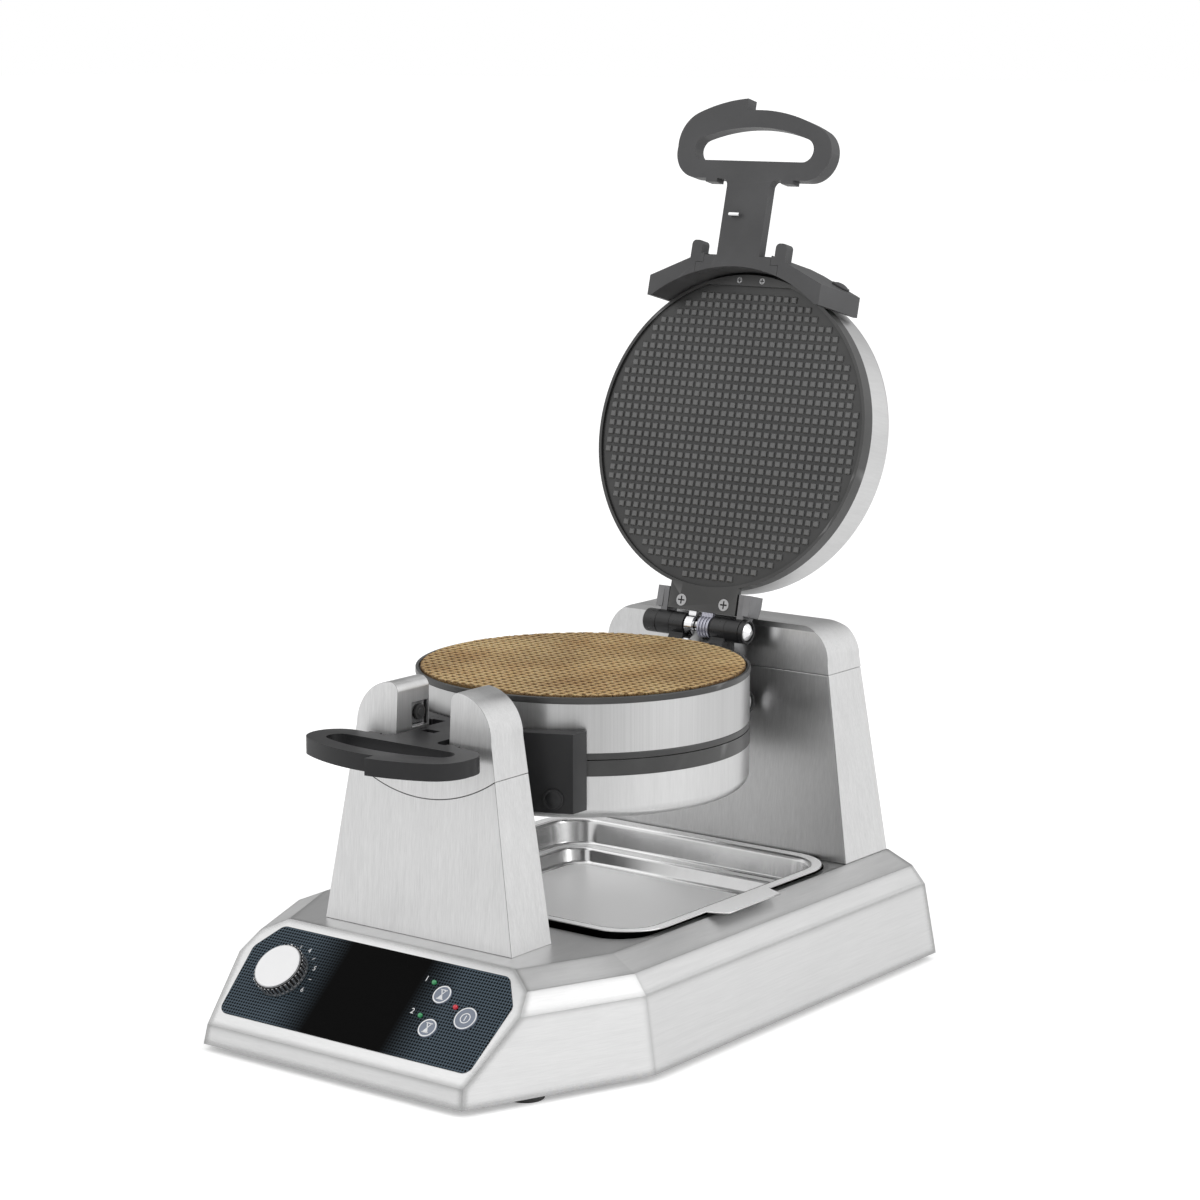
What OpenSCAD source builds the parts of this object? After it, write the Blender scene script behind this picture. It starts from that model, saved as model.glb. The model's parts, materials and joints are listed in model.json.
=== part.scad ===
// Double round waffle cone iron on a stainless stand. Millimetres, table top at z = 0, front is -Y.
// The rest pose has the top lid open. Both lids are drawn shut on the core and then placed.

/* [Base] */
// height of the rubber feet
foot_h = 4; // [3:0.5:6]
// half width of the base at the back, at its lower edge
base_hw = 149; // [148:0.5:151]
// half width of the base at the front lip
lip_hw = 100; // [98:0.5:102]
// front of the base at its lower edge
base_front = -242; // [-243:0.5:-241]
// top edge of the front lip
lip_y = -239.5; // [-240:0.5:-238.5]
// where the flared sides meet the straight sides
flare_y = -126; // [-130:1:-122]
// back of the base
base_back = 186; // [185:0.5:190]
// height of the base's top face
base_top = 69; // [69:0.1:69.2]
// height of the front lip
lip_top = 16; // [14:0.5:17]
// top edge of the sloping panel
panel_y = -178.5; // [-179:0.1:-177]
// sheet thickness of the base
sheet = 2; // [1.5:0.1:2.2]

/* [Towers] */
// half width of the front tower at its foot
ft_foot = 72.5; // [71:0.5:74]
// half width of the front tower at its seam
ft_seam = 55.6; // [55:0.1:57]
// height of the front tower's side seam
ft_seam_z = 169.7; // [168:0.1:170]
// half width of the notch that takes the handle stems
notch_hw = 20.4; // [20.4:0.1:21]
// top of the front tower's horns
horn_top = 219; // [217:0.5:220]
// half width of the rear tower at its foot
rt_foot = 112.8; // [111:0.1:114]
// half width of the rear tower at its seam
rt_seam = 90.3; // [89:0.1:92]
// top of the rear tower cap
rt_top = 218.5; // [217:0.5:219]

/* [Iron] */
// radius of the baking plates
plate_r = 105; // [104.6:0.1:105]
// height of the turning axis
axis_z = 190; // [190:0.1:190.4]
// half thickness of the double-sided core
core_h = 19; // [19:0.1:19.2]
// height of a shut lid
lid_h = 37; // [36:0.5:38]
// gap at the parting plane of a shut lid
lid_gap = 0.3; // [0.2:0.05:0.4]
// hinge axis behind the core's centre
hinge_y = 129; // [128.8:0.1:129.2]
// hinge axis above the parting plane
hinge_up = 4.5; // [4.3:0.1:4.7]
// angle of the open top lid
open_deg = 104.3; // [100:0.1:106]
// radius of the hinge pins
pin_r = 4; // [3.8:0.1:4]
// radius of the hollow trunnion
trunnion_r = 14; // [13.5:0.1:14]

/* [Controls] */
// knob centre across the panel
knob_x = -66; // [-68:0.5:-64]
// knob centre up the panel
knob_s = 43.2; // [42:0.1:44.5]
// travel of the push buttons
button_travel = 0.8; // [0.5:0.1:0.8]

/* [Part shown] */
// one sub-part, or all of them

/* [Hidden] */
$fn = 96;
t = sheet;
slope = atan2(base_top - lip_top, panel_y - lip_y);
flare = atan2(base_hw - lip_hw, flare_y - base_front);
face_z = core_h + lid_gap;          // shut lid's parting plane above the turning axis
hinge_z = axis_z + core_h + hinge_up;
knuckle_r = 7.8;
yoke_x0 = 11;                       // inner face of the yoke's cheeks
knuckle_x = 22.2;                   // where the lid's knuckles start
knuckle_end = 33;                   // and where they end
head_r = 6.4;                       // pin head
film_gap = 0.01;                    // clearance between faces that lie on each other
recess_r = plate_r - 2.2;           // radius of the plates' baking recess
nut_end = 43.4;                     // outer end of the blind nuts
collar_end = 37;                    // outer end of the collars round the pins' heads
btn_1 = [50.8, 53.7, 6.2];
btn_2 = [54, 31, 6.2];
btn_p = [75.2, 42.4, 7.5];
led_g = [[40.5, 60.5], [44.1, 37.9]];
led_r = [[64, 48.2]];
feet = [[-118, 156], [118, 156], [-106, -192], [106, -192]];
tray_c = 18;                        // centre of the tray along Y
tray_hw = 111;                      // half width of the tray's rim

// ---------- helpers ----------

function unit(v) = v / norm(v);

// rounded rectangle between two corners
module rrect(x0, y0, x1, y1, r) {
  translate([x0 + r, y0]) square([x1 - x0 - 2 * r, y1 - y0]);
  translate([x0, y0 + r]) square([x1 - x0, y1 - y0 - 2 * r]);
  for (x = [x0 + r, x1 - r]) for (y = [y0 + r, y1 - r]) translate([x, y]) circle(r);
}

// extrude a Y-Z outline from x0 to x1
module along_x(x0, x1) {
  translate([x0, 0, 0]) rotate([90, 0, 90]) linear_extrude(x1 - x0) children();
}

// extrude an X-Z outline from y0 to y1
module along_y(y0, y1) {
  translate([0, y1, 0]) rotate([90, 0, 0]) linear_extrude(y1 - y0) children();
}

module mirror_x() {
  children();
  mirror([1, 0, 0]) children();
}

// frame of the sloping panel: x across, y up the slope, z out of it
module on_panel() {
  translate([0, lip_y, lip_top]) rotate([slope, 0, 0]) children();
}

// a cylinder along X
module bar_x(x0, x1, y, z, r) {
  translate([x0, y, z]) rotate([0, 90, 0]) cylinder(h = x1 - x0, r = r);
}

// pan-head screw driven towards -Y into a face at y
module cap_screw(x, y, z) {
  bar_y(y - 6, y + 0.02, x, z, 2);
  difference() {
    bar_y(y + 0.02, y + 2, x, z, 3.8);
    translate([x - 2.4, y + 1.2, z - 0.4]) cube([4.8, 3, 0.8]);
    translate([x - 0.4, y + 1.2, z - 2.4]) cube([0.8, 3, 4.8]);
  }
}

// a cylinder along Y
module bar_y(y0, y1, x, z, r) {
  translate([x, y1, z]) rotate([90, 0, 0]) cylinder(h = y1 - y0, r = r);
}

// ---------- base ----------

// half section of the base's side, cut back by i
module side_profile(i) {
  polygon([
    [-400, foot_h - i * 9], [base_hw - i, foot_h - i * 9], [base_hw - i, foot_h],
    [base_hw - 8 - i, 50 - 0.3 * i], [base_hw - 17.5 - 0.9 * i, 61 - 0.8 * i],
    [base_hw - 36 - 0.4 * i, base_top - i], [-400, base_top - i]]);
}

// everything inside the flared side at the front right
module flare_cut(i) {
  translate([base_hw, flare_y, 0]) rotate([0, 0, -flare]) translate([-base_hw, 0, 0])
    along_y(-300, 500) side_profile(i);
}

// the base's outer form, cut back by i on every face but the open bottom
module base_form(i) {
  lip = lip_top + i * tan(slope) - i / cos(slope);
  top_y = lip_y + (base_top - i - lip_top + i / cos(slope)) / tan(slope);
  intersection() {
    along_x(-200, 200)
      polygon([
        [base_front + i, foot_h - i * 9], [base_front + i, foot_h], [lip_y + i, lip],
        [top_y, base_top - i], [base_back - 3 - i, base_top - i], [base_back - i, foot_h - i * 9]]);
    along_y(-260, 210) side_profile(i);
    along_y(-260, 210) mirror([1, 0]) side_profile(i);
    flare_cut(i);
    mirror([1, 0, 0]) flare_cut(i);
  }
}

module tray_opening(g, z0, z1) {
  translate([0, 0, z0]) linear_extrude(z1 - z0)
    rrect(-108 - g, -98 - g, 108 + g, 130 + g, 24 + g);
}

module base_housing() {
  color("silver") difference() {
    base_form(0);
    base_form(t);
    tray_opening(0, base_top - 5, base_top + 5);
    on_panel() {
      translate([knob_x, knob_s, -9]) cylinder(h = 20, r = 5);
      for (b = [btn_1, btn_2, btn_p]) translate([b[0], b[1], -9]) cylinder(h = 20, r = b[2] + 0.3);
      for (l = led_g) translate([l[0], l[1], -9]) cylinder(h = 20, r = 1.6);
      for (l = led_r) translate([l[0], l[1], -9]) cylinder(h = 20, r = 1.6);
    }
    translate([0, 160, base_top - 5]) linear_extrude(10) rrect(-22, -8, 22, 8, 5);
    translate([0, -144, base_top - 5]) linear_extrude(10) rrect(-22, -8, 22, 8, 5);
    bar_y(base_back - 8, base_back + 8, 88, 34, 8.02);
  }
}

module base_pan() {
  color("darkgray") difference() {
    intersection() {
      base_form(t + 0.4);
      translate([-300, -300, foot_h + 0.5]) cube([600, 600, 1.5]);
    }
    for (f = feet) translate([f[0], f[1], 0]) cylinder(h = 20, r = 2.05);
    for (x = [-60 : 20 : 60]) for (y = [-60, 60]) translate([x, y, 0]) linear_extrude(20)
      rrect(-3, -22, 3, 22, 2.9);
  }
}

module rubber_feet() {
  color("black") for (f = feet) translate([f[0], f[1], 0]) difference() {
    cylinder(h = foot_h + 0.5, r = 11);
    translate([0, 0, -1]) cylinder(h = 20, r = 2.05);
    translate([0, 0, -1]) cylinder(h = 2.7, r = 5);
  }
}

module foot_screws() {
  color("silver") for (f = feet) translate([f[0], f[1], 0]) {
    translate([0, 0, 1.7]) cylinder(h = 7, r = 2);
    translate([0, 0, 0.5]) difference() {
      cylinder(h = 1.2, r = 4);
      translate([-2.4, -0.4, -1]) cube([4.8, 0.8, 1.6]);
      translate([-0.4, -2.4, -1]) cube([0.8, 4.8, 1.6]);
    }
  }
}

// sheet well under the opening, its floor carries the tray
module drip_well() {
  color("dimgray") difference() {
    tray_opening(3.5, 41.5, base_top - t - film_gap);
    tray_opening(2, 43, base_top);
  }
}

// convex outline with its corners rounded
module soft_outline(p, r) {
  n = len(p);
  before = [for (i = [0 : n - 1]) unit(p[(i + n - 1) % n] - p[i])];
  after = [for (i = [0 : n - 1]) unit(p[(i + 1) % n] - p[i])];
  half = [for (i = [0 : n - 1]) acos(before[i] * after[i]) / 2];
  polygon([for (i = [0 : n - 1]) for (side = [before[i], after[i]]) p[i] + side * r / tan(half[i])]);
  for (i = [0 : n - 1]) translate(p[i] + unit(before[i] + after[i]) * r / sin(half[i])) circle(r);
}

// outline of the printed fascia
module fascia_outline() {
  soft_outline([
    [96.2, 9.5], [100.5, 57], [87.5, 75], [-87.5, 75], [-100.5, 57], [-96.2, 9.5]], 6);
}

module control_fascia() {
  color("black") on_panel() difference() {
    translate([0, 0, film_gap]) linear_extrude(0.6) fascia_outline();
    translate([knob_x, knob_s, -9]) cylinder(h = 20, r = 5);
    for (b = [btn_1, btn_2, btn_p]) translate([b[0], b[1], -9]) cylinder(h = 20, r = b[2] + 0.3);
    for (l = led_g) translate([l[0], l[1], -9]) cylinder(h = 20, r = 1.6);
    for (l = led_r) translate([l[0], l[1], -9]) cylinder(h = 20, r = 1.6);
  }
}

module control_board() {
  color("green") on_panel() difference() {
    union() {
      translate([26, 22, -13.6]) cube([60, 50, 1.6]);
      for (b = [btn_1, btn_2, btn_p]) translate([b[0] - 4, b[1] - 4, -12]) cube([8, 8, 4.8]);
      translate([28, 46, -12]) cube([9, 7, 3]);
    }
    for (x = [30, 82]) for (y = [26, 68]) translate([x, y, -20]) cylinder(h = 20, r = 1.6);
  }
}

module board_standoffs() {
  color("gold") on_panel() for (x = [30, 82]) for (y = [26, 68]) translate([x, y, 0]) {
    translate([0, 0, -12]) cylinder(h = 12 - t, r = 3, $fn = 6);
    translate([0, 0, -15]) cylinder(h = 3, r = 1.5);
  }
}

module thermostat_body() {
  color("tan") on_panel() translate([knob_x, knob_s, 0]) difference() {
    union() {
      translate([0, 0, -20]) cylinder(h = 20 - t - 0.2, r = 17);
      translate([0, 0, -3]) cylinder(h = 6, r = 4.9);
      translate([0, 0, 0.7]) cylinder(h = 2, r = 7, $fn = 6);
    }
    translate([0, 0, -30]) cylinder(h = 40, r = 3.05);
  }
}

module timer_relay() {
  color("royalblue") {
    translate([-70, -158, 6]) cube([34, 22, 30]);
    translate([-64, -152, 36]) cube([22, 10, 4]);
  }
}

module terminal_block() {
  color("ivory") difference() {
    translate([36, 140, 6]) cube([48, 18, 16]);
    for (i = [0 : 3]) translate([42 + i * 12, 149, 14]) cylinder(h = 20, r = 2.6);
  }
}

module led_lens(l) {
  translate([l[0], l[1], -8]) cylinder(h = 9, r = 1.5);
  translate([l[0], l[1], 1]) intersection() {
    sphere(1.5);
    cylinder(h = 3, r = 3);
  }
}

module leds_green() {
  color("limegreen") on_panel() for (l = led_g) led_lens(l);
}

module led_red() {
  color("red") on_panel() for (l = led_r) led_lens(l);
}

// ---------- front tower ----------

horn_r = 27;                        // rounding of the horns' outer shoulders
horn_in = 6;                        // and of their inner top corners
ft_lean = (ft_foot - ft_seam) / (ft_seam_z - base_top);

// tapered box of the front tower, cut back by i, rounded shoulders at the top
module ft_form(i) {
  hw_top = ft_foot - ft_lean * (horn_top - base_top) - i;
  horn_x = hw_top + ft_lean * horn_r - horn_r;
  intersection() {
    along_y(-190, -100) union() {
      polygon([
        [-ft_foot + i, base_top], [ft_foot - i, base_top],
        [hw_top + ft_lean * horn_r, horn_top - horn_r - i],
        [-hw_top - ft_lean * horn_r, horn_top - horn_r - i]]);
      translate([-horn_x, horn_top - horn_r - i]) square([2 * horn_x, horn_r]);
      for (s = [-1, 1]) translate([s * horn_x, horn_top - horn_r - i]) circle(horn_r);
    }
    along_x(-100, 100)
      polygon([
        [-162.7 + i, base_top], [-125 - i, base_top],
        [-125 - i, horn_top - i], [-153.3 + i, horn_top - i]]);
  }
}

// everything above the curved seam
module ft_above(g) {
  union() {
    bar_y(-200, -90, 0, 252, 99 - g);
    translate([-100, -200, 252]) cube([200, 110, 50]);
  }
}

module ft_notch(g) {
  bar_y(-200, -90, 0, axis_z, notch_hw + g);
  translate([-notch_hw - g, -200, axis_z]) cube([2 * notch_hw + 2 * g, 110, 60]);
}

module front_tower() {
  color("lightgray") difference() {
    ft_form(0);
    ft_form(2);
    ft_above(0);
  }
}

module front_tower_cap() {
  color("lightgray") difference() {
    intersection() {
      ft_form(0);
      ft_above(0.15);
    }
    difference() {
      ft_form(2);
      ft_notch(2);
    }
    ft_notch(0);
    mirror_x() along_y(-200, -90) difference() {
      translate([notch_hw - 1, horn_top - horn_in]) square([horn_in + 1, horn_in + 1]);
      translate([notch_hw + horn_in, horn_top - horn_in]) circle(horn_in);
    }
    mirror_x() translate([notch_hw - 2, -141, 190]) cube([6, 15, 15]);
    mirror_x() bar_y(-130, -120, 41, 206, 2.1);
  }
}

// bright brackets seen through the windows in the notch's walls
module roller_brackets() {
  color("gainsboro") mirror_x() {
    translate([notch_hw + 2.2, -140.6, 188]) cube([1.5, 13, 19]);
    translate([notch_hw + 3.7, -140.6, 188]) cube([8, 13, 1.5]);
  }
}

module stem_rollers() {
  color("black") mirror_x() {
    translate([notch_hw + 0.6, -132.5, 198]) rotate([0, 90, 0]) cylinder(h = 1.5, r = 4.6);
    translate([notch_hw + 0.1, -132.5, 198]) rotate([0, 90, 0]) cylinder(h = 0.6, r = 2.4);
  }
}

// ---------- rear tower ----------

rt_seam_z = axis_z - 0.8;
rt_lean = (rt_foot - rt_seam) / (rt_seam_z - base_top);

module rt_form(i) {
  hw_s = rt_foot - rt_lean * (rt_seam_z - base_top) - i;
  intersection() {
    along_y(100, 220) union() {
      polygon([
        [-rt_foot + i, base_top], [rt_foot - i, base_top], [hw_s, rt_seam_z],
        [-hw_s, rt_seam_z]]);
      polygon([[-hw_s, rt_seam_z], [hw_s, rt_seam_z], [hw_s - 1.5, rt_top - 22 - i],
        [-hw_s + 1.5, rt_top - 22 - i]]);
      translate([-hw_s + 24.6, rt_top - 30 - i]) square([2 * hw_s - 49.2, 30]);
      for (s = [-1, 1]) translate([s * (hw_s - 24.3), rt_top - 23 - i]) circle(23);
    }
    along_x(-130, 130)
      polygon([
        [131.7 + i, base_top], [143 + i, rt_seam_z], [146.5 + i, rt_top - 3], [149 + i, rt_top - i],
        [179 - i, rt_top - i], [182 - i, rt_top - 4], [182 - i, base_top]]);
  }
}

module rear_tower() {
  color("lightgray") difference() {
    rt_form(0);
    rt_form(2);
    translate([-150, 100, rt_seam_z]) cube([300, 120, 60]);
    bar_y(120, 155, 0, axis_z, 15.5);
  }
}

module rear_tower_cap() {
  color("lightgray") difference() {
    rt_form(0);
    rt_form(2);
    translate([-150, 100, rt_seam_z - 150 + 0.15]) cube([300, 120, 150]);
    bar_y(120, 155, 0, axis_z, 15.5);
    for (x = [-50, 50]) bar_y(176, 190, x, 203, 2.1);
  }
}

// screws through the backs of the horns and of the rear cap
module tower_screws() {
  color("silver") {
    mirror_x() cap_screw(41, -125, 206);
    mirror_x() cap_screw(50, 182, 203);
  }
}

module bearing_pedestal() {
  color("slategray") difference() {
    union() {
      translate([-26, 152, base_top]) cube([52, 16, axis_z - base_top]);
      bar_y(152, 168, 0, axis_z, 26);
      translate([-45, 149, base_top]) cube([90, 24, 3]);
    }
    bar_y(140, 180, 0, axis_z, 18.02);
    translate([-16, 140, base_top + 20]) cube([32, 60, 70]);
    translate([-12, 154, base_top - 1]) cube([24, 14, 22]);
  }
}

module bearing_bush() {
  color("peru") difference() {
    bar_y(150, 170, 0, axis_z, 18);
    bar_y(140, 180, 0, axis_z, trunnion_r + 0.05);
  }
}

// ---------- mains lead ----------

module cord_gland() {
  color("dimgray") difference() {
    union() {
      bar_y(base_back - 7, base_back + 10, 88, 34, 8);
      bar_y(base_back + 1, base_back + 5, 88, 34, 11);
      bar_y(base_back + 10, base_back + 20, 88, 34, 6);
    }
    bar_y(base_back - 20, base_back + 40, 88, 34, 4.05);
  }
}

cord_y = -base_front - 14;          // the plug's far side lines up with the base's front, mirrored

module power_cord() {
  r = 4;
  run = cord_y - base_back - 12;
  color("black") {
    bar_y(base_back - 12, base_back + run, 88, 34, r);
    translate([88, base_back + run, 22]) rotate([90, 0, 90]) rotate_extrude(angle = 90)
      translate([12, 0]) circle(r);
    translate([88, cord_y, 16]) cylinder(h = 6, r = r);
    translate([76, cord_y, 16]) rotate([-90, 0, 0]) rotate_extrude(angle = 90)
      translate([12, 0]) circle(r);
    bar_x(-30, 76, cord_y, 4, r);
  }
}

module cord_plug() {
  y = cord_y;
  color("black") difference() {
    union() {
      bar_x(-46, -24, y, 7.5, 5.5);
      translate([-78, y - 14, 1]) linear_extrude(15) rrect(0, 0, 32, 28, 5);
    }
    bar_x(-31, 0, y, 4, 4.05);
  }
  color("gold") for (s = [-1, 1]) translate([-94, y + s * 6.35 - 0.8, 5.5]) cube([16.2, 1.6, 6]);
}

// ---------- controls that move ----------

module thermostat_shaft() {
  color("silver") on_panel() translate([knob_x, knob_s, -18]) cylinder(h = 24.5, r = 3);
}

module thermostat_knob() {
  color("white") on_panel() translate([knob_x, knob_s, 0]) difference() {
    union() {
      translate([0, 0, 1]) cylinder(h = 7.6, r1 = 16.3, r2 = 15.3);
      translate([0, 0, 8.6]) cylinder(h = 0.9, r = 15);
      for (i = [0 : 35]) rotate([0, 0, i * 10]) translate([15.6, 0, 1])
        cylinder(h = 7.2, r = 0.8, $fn = 24);
    }
    translate([0, 0, -1]) cylinder(h = 7.5, r = 3.01);
    translate([0, 0, -1]) cylinder(h = 4.5, r = 13);
  }
}

module push_button(b) {
  on_panel() translate([b[0], b[1], 0]) {
    translate([0, 0, -3]) cylinder(h = 4.6, r = b[2]);
    translate([0, 0, -4.2]) cylinder(h = 1.2, r = b[2] + 1);
    translate([0, 0, -6.2]) cylinder(h = 2, r = 2);
  }
}

module power_button() {
  color("slategray") push_button(btn_p);
}

module timer_button_1() {
  color("slategray") push_button(btn_1);
}

module timer_button_2() {
  color("slategray") push_button(btn_2);
}

// ---------- drip tray ----------

module tray_shape(g, r) {
  translate([0, tray_c]) rrect(-tray_hw + g, -tray_hw + g, tray_hw - g, tray_hw - g, r);
}

module tray_step(z0, z1, g, r, w) {
  translate([0, 0, z0]) linear_extrude(z1 - z0) difference() {
    tray_shape(g, r);
    tray_shape(g + w, r - w > 2 ? r - w : 2);
  }
}

module drip_tray() {
  color("whitesmoke") {
    tray_step(71.2, 72.2, 0, 32, 8);
    tray_step(55, 71.8, 7, 25, 1);
    tray_step(54, 55, 7, 25, 11);
    tray_step(44, 54.6, 17, 16, 1);
    translate([0, 0, 43]) linear_extrude(1) tray_shape(17, 16);
    translate([0, 0, 71.2]) linear_extrude(1) mirror_x()
      polygon([[110, -22], [118, -22], [124, -16], [124, 40], [120, 46], [110, 46]]);
  }
}

// ---------- core ----------

module core_band() {
  color("silver") translate([0, 0, axis_z]) difference() {
    translate([0, 0, -core_h + 4]) cylinder(h = 2 * core_h - 8, r = plate_r - 0.4);
    translate([0, 0, -50]) cylinder(h = 100, r = plate_r - 1.9);
    bar_y(90, 120, 0, 0, 10);
  }
}

// one of the core's two plates, drawn facing up
module core_plate() {
  difference() {
    union() {
      translate([0, 0, core_h - 4]) cylinder(h = 4, r = plate_r);
      translate([0, 0, core_h - 8]) cylinder(h = 5, r = plate_r - 2);
    }
    translate([0, 0, core_h - 1.6]) cylinder(h = 5, r = recess_r);
  }
}

module core_upper_plate() {
  color("dimgray") translate([0, 0, axis_z]) core_plate();
}

module core_lower_plate() {
  color("dimgray") translate([0, 0, axis_z]) rotate([0, 180, 0]) core_plate();
}

module ring(r, z, tube) {
  translate([0, 0, z]) rotate_extrude() translate([r, 0]) circle(tube);
}

module core_upper_element() {
  color("firebrick") ring(72, axis_z + core_h - 8 - 3, 3);
}

module core_lower_element() {
  color("firebrick") ring(72, axis_z - core_h + 8 + 3, 3);
}

module core_insulation() {
  color("beige") translate([0, 0, axis_z - 4.5]) cylinder(h = 9, r = 98);
}

module trunnion() {
  color("silver") difference() {
    union() {
      bar_y(plate_r + 0.2, 175, 0, axis_z, trunnion_r);
      bar_y(plate_r + 0.2, plate_r + 4, 0, axis_z, 19);
      bar_y(170.2, 173, 0, axis_z, 17);
    }
    bar_y(90, 200, 0, axis_z, 9);
  }
}

// outline of the yoke's cheek above the turning axis, in Y and height
module yoke_outline() {
  polygon([
    [plate_r + 0.3, 0], [plate_r + 0.3, 15], [120, 15], [122, 17],
    [hinge_y - 6, core_h + 1], [hinge_y + 6, core_h + 1], [134, 0]]);
  translate([hinge_y, core_h + hinge_up]) circle(knuckle_r);
}

module hinge_yoke() {
  color("black") difference() {
    for (m = [0, 1]) mirror([m, 0, 0]) for (f = [0, 180]) translate([0, 0, axis_z])
      rotate([0, f, 0]) mirror([f / 180, 0, 0]) along_x(yoke_x0, knuckle_x - 0.2) yoke_outline();
    bar_y(90, 200, 0, axis_z, 19.1);
    for (z = [-1, 1]) bar_x(-60, 60, hinge_y, axis_z + z * (core_h + hinge_up), pin_r + 0.02);
  }
}

module hinge_pins() {
  color("gainsboro") for (z = [-1, 1]) translate([0, hinge_y, axis_z + z * (core_h + hinge_up)])
    rotate([0, 90, 0]) {
      translate([0, 0, 2 - nut_end]) cylinder(h = nut_end + knuckle_end - 2, r = pin_r);
      translate([0, 0, knuckle_end + 0.3]) cylinder(h = collar_end - knuckle_end - 1.5, r = head_r);
      translate([0, 0, knuckle_end]) cylinder(h = 1, r = pin_r);
      if (z > 0) translate([0, 0, collar_end - 1.2]) cylinder(h = 3.4, r1 = head_r, r2 = 1.5);
    }
}

// blind nuts on the pins' left ends, collars round the heads on the right
module pin_nuts() {
  color("black") for (z = [-1, 1]) translate([0, 0, axis_z + z * (core_h + hinge_up)]) {
    difference() {
      bar_x(-nut_end, -knuckle_end - 0.2, hinge_y, 0, knuckle_r);
      bar_x(1.98 - nut_end, 0, hinge_y, 0, pin_r + 0.02);
    }
    difference() {
      bar_x(knuckle_end + 0.2, collar_end, hinge_y, 0, knuckle_r);
      bar_x(0, 60, hinge_y, 0, head_r + 0.02);
    }
  }
}

// ---------- a lid, drawn shut on top of the core, heights from the turning axis ----------

module top_place() {
  translate([0, hinge_y, hinge_z]) rotate([-open_deg, 0, 0]) translate([0, -hinge_y, -hinge_z])
    translate([0, 0, axis_z]) children();
}

module low_place() {
  translate([0, 0, axis_z]) rotate([0, 180, 0]) children();
}

lid_top = core_h + lid_h;
cover_in = 107;       // inner radius of the wrap-round cover
cover_h = 48.5;       // its far edge above the turning axis
wing_end = [68, -98.4];             // front corner of the cover's end
wing_root = [37.4, -111.6];         // where its flat wing starts
wing_back = -85;                    // back of the cover's ends
stem_hw = 16.8;       // handle stem
stem_h = 7;
foot_hw = 26.5;
loop_hw = 61;         // finger loop
loop_h = 10.2;
loop_back = -165;
loop_front = -211;
loop_arch = 115;      // radius of the loop's arched front
hook_r = 1.3;
skin_z = face_z + 9.7;
recess_front = 97.5;                // flat front edge of the lid plates' recess

module dish(r, z1, e) {
  rotate_extrude() {
    translate([0, skin_z]) square([r, z1 - skin_z - e]);
    translate([0, skin_z]) square([r - e, z1 - skin_z]);
    intersection() {
      translate([r - e, z1 - e]) circle(e);
      translate([r - e, z1 - e]) square([e, e]);
    }
  }
}

module lid_shell() {
  difference() {
    dish(plate_r - 0.4, lid_top, 8);
    translate([0, 0, -0.01]) dish(plate_r - 1.9, lid_top - 1.5, 6.5);
  }
}

module lid_plate() {
  difference() {
    union() {
      translate([0, 0, face_z]) cylinder(h = 9.6, r = plate_r);
      translate([0, 0, face_z]) cylinder(h = 12.5, r = plate_r - 2.2);
      translate([-27, 90, face_z]) cube([54, 29.4, 3.5]);
    }
    intersection() {
      translate([0, 0, face_z - 1]) cylinder(h = 2.6, r = recess_r);
      translate([-200, -recess_front, face_z - 1]) cube([400, 400, 2.6]);
    }
    translate([0, 0, face_z + 6]) cylinder(h = 12.5, r = plate_r - 8);
    for (x = [-17, 17]) translate([x, 113.5, face_z - 1]) cylinder(h = 9, r = 2.05);
    for (x = [-17, 17]) translate([x, 113.5, face_z - 1]) cylinder(h = 2.5, r = 4.1);
    for (x = [-9, 9]) translate([x, -101.2, face_z - 1]) cylinder(h = 3, r = 2.25);
  }
}

module lid_element() {
  ring(70, face_z + 6 + 3.1, 3);
}

// ears and knuckles that carry the lid on its pin
module lid_hinge() {
  zt = face_z + 3.6;
  difference() {
    union() {
      translate([-37, plate_r + 0.3, zt]) cube([74, 119.4 - plate_r - 0.3, 5]);
      mirror_x() along_x(28, knuckle_end) polygon([
        [plate_r + 0.3, face_z + 0.5], [hinge_y - 4, core_h + hinge_up - 3],
        [hinge_y, core_h + hinge_up + 7], [119.5, face_z + 13], [112, face_z + 15],
        [plate_r + 0.3, face_z + 15]]);
      mirror_x() along_x(knuckle_end - 1, 37) polygon([
        [plate_r + 0.3, face_z + 0.5], [119, face_z + 0.5], [119.5, face_z + 13],
        [112, face_z + 15], [plate_r + 0.3, face_z + 15]]);
      mirror_x() bar_x(knuckle_x, knuckle_end, hinge_y, core_h + hinge_up, knuckle_r);
    }
    bar_x(-60, 60, hinge_y, core_h + hinge_up, pin_r + 0.05);
    for (x = [-17, 17]) translate([x, 113.5, face_z]) cylinder(h = 30, r = 2.02);
  }
}

module hinge_screws() {
  for (x = [-17, 17]) translate([x, 113.5, 0]) {
    translate([0, 0, face_z + 1.5]) cylinder(h = 8, r = 2);
    difference() {
      translate([0, 0, face_z]) cylinder(h = 1.5, r = 4);
      translate([-2.6, -0.45, face_z - 1]) cube([5.2, 0.9, 1.8]);
      translate([-0.45, -2.6, face_z - 1]) cube([0.9, 5.2, 1.8]);
    }
  }
  for (x = [-9, 9]) translate([x, -101.2, face_z]) difference() {
    translate([0, 0, 0.3]) cylinder(h = 1.7, r = 2.2);
    translate([-1.5, -0.3, -1]) cube([3, 0.6, 1.9]);
    translate([-0.3, -1.5, -1]) cube([0.6, 3, 1.9]);
  }
}

base_z0 = 0.25;       // lower edge of the handle parts above the turning axis

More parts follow.
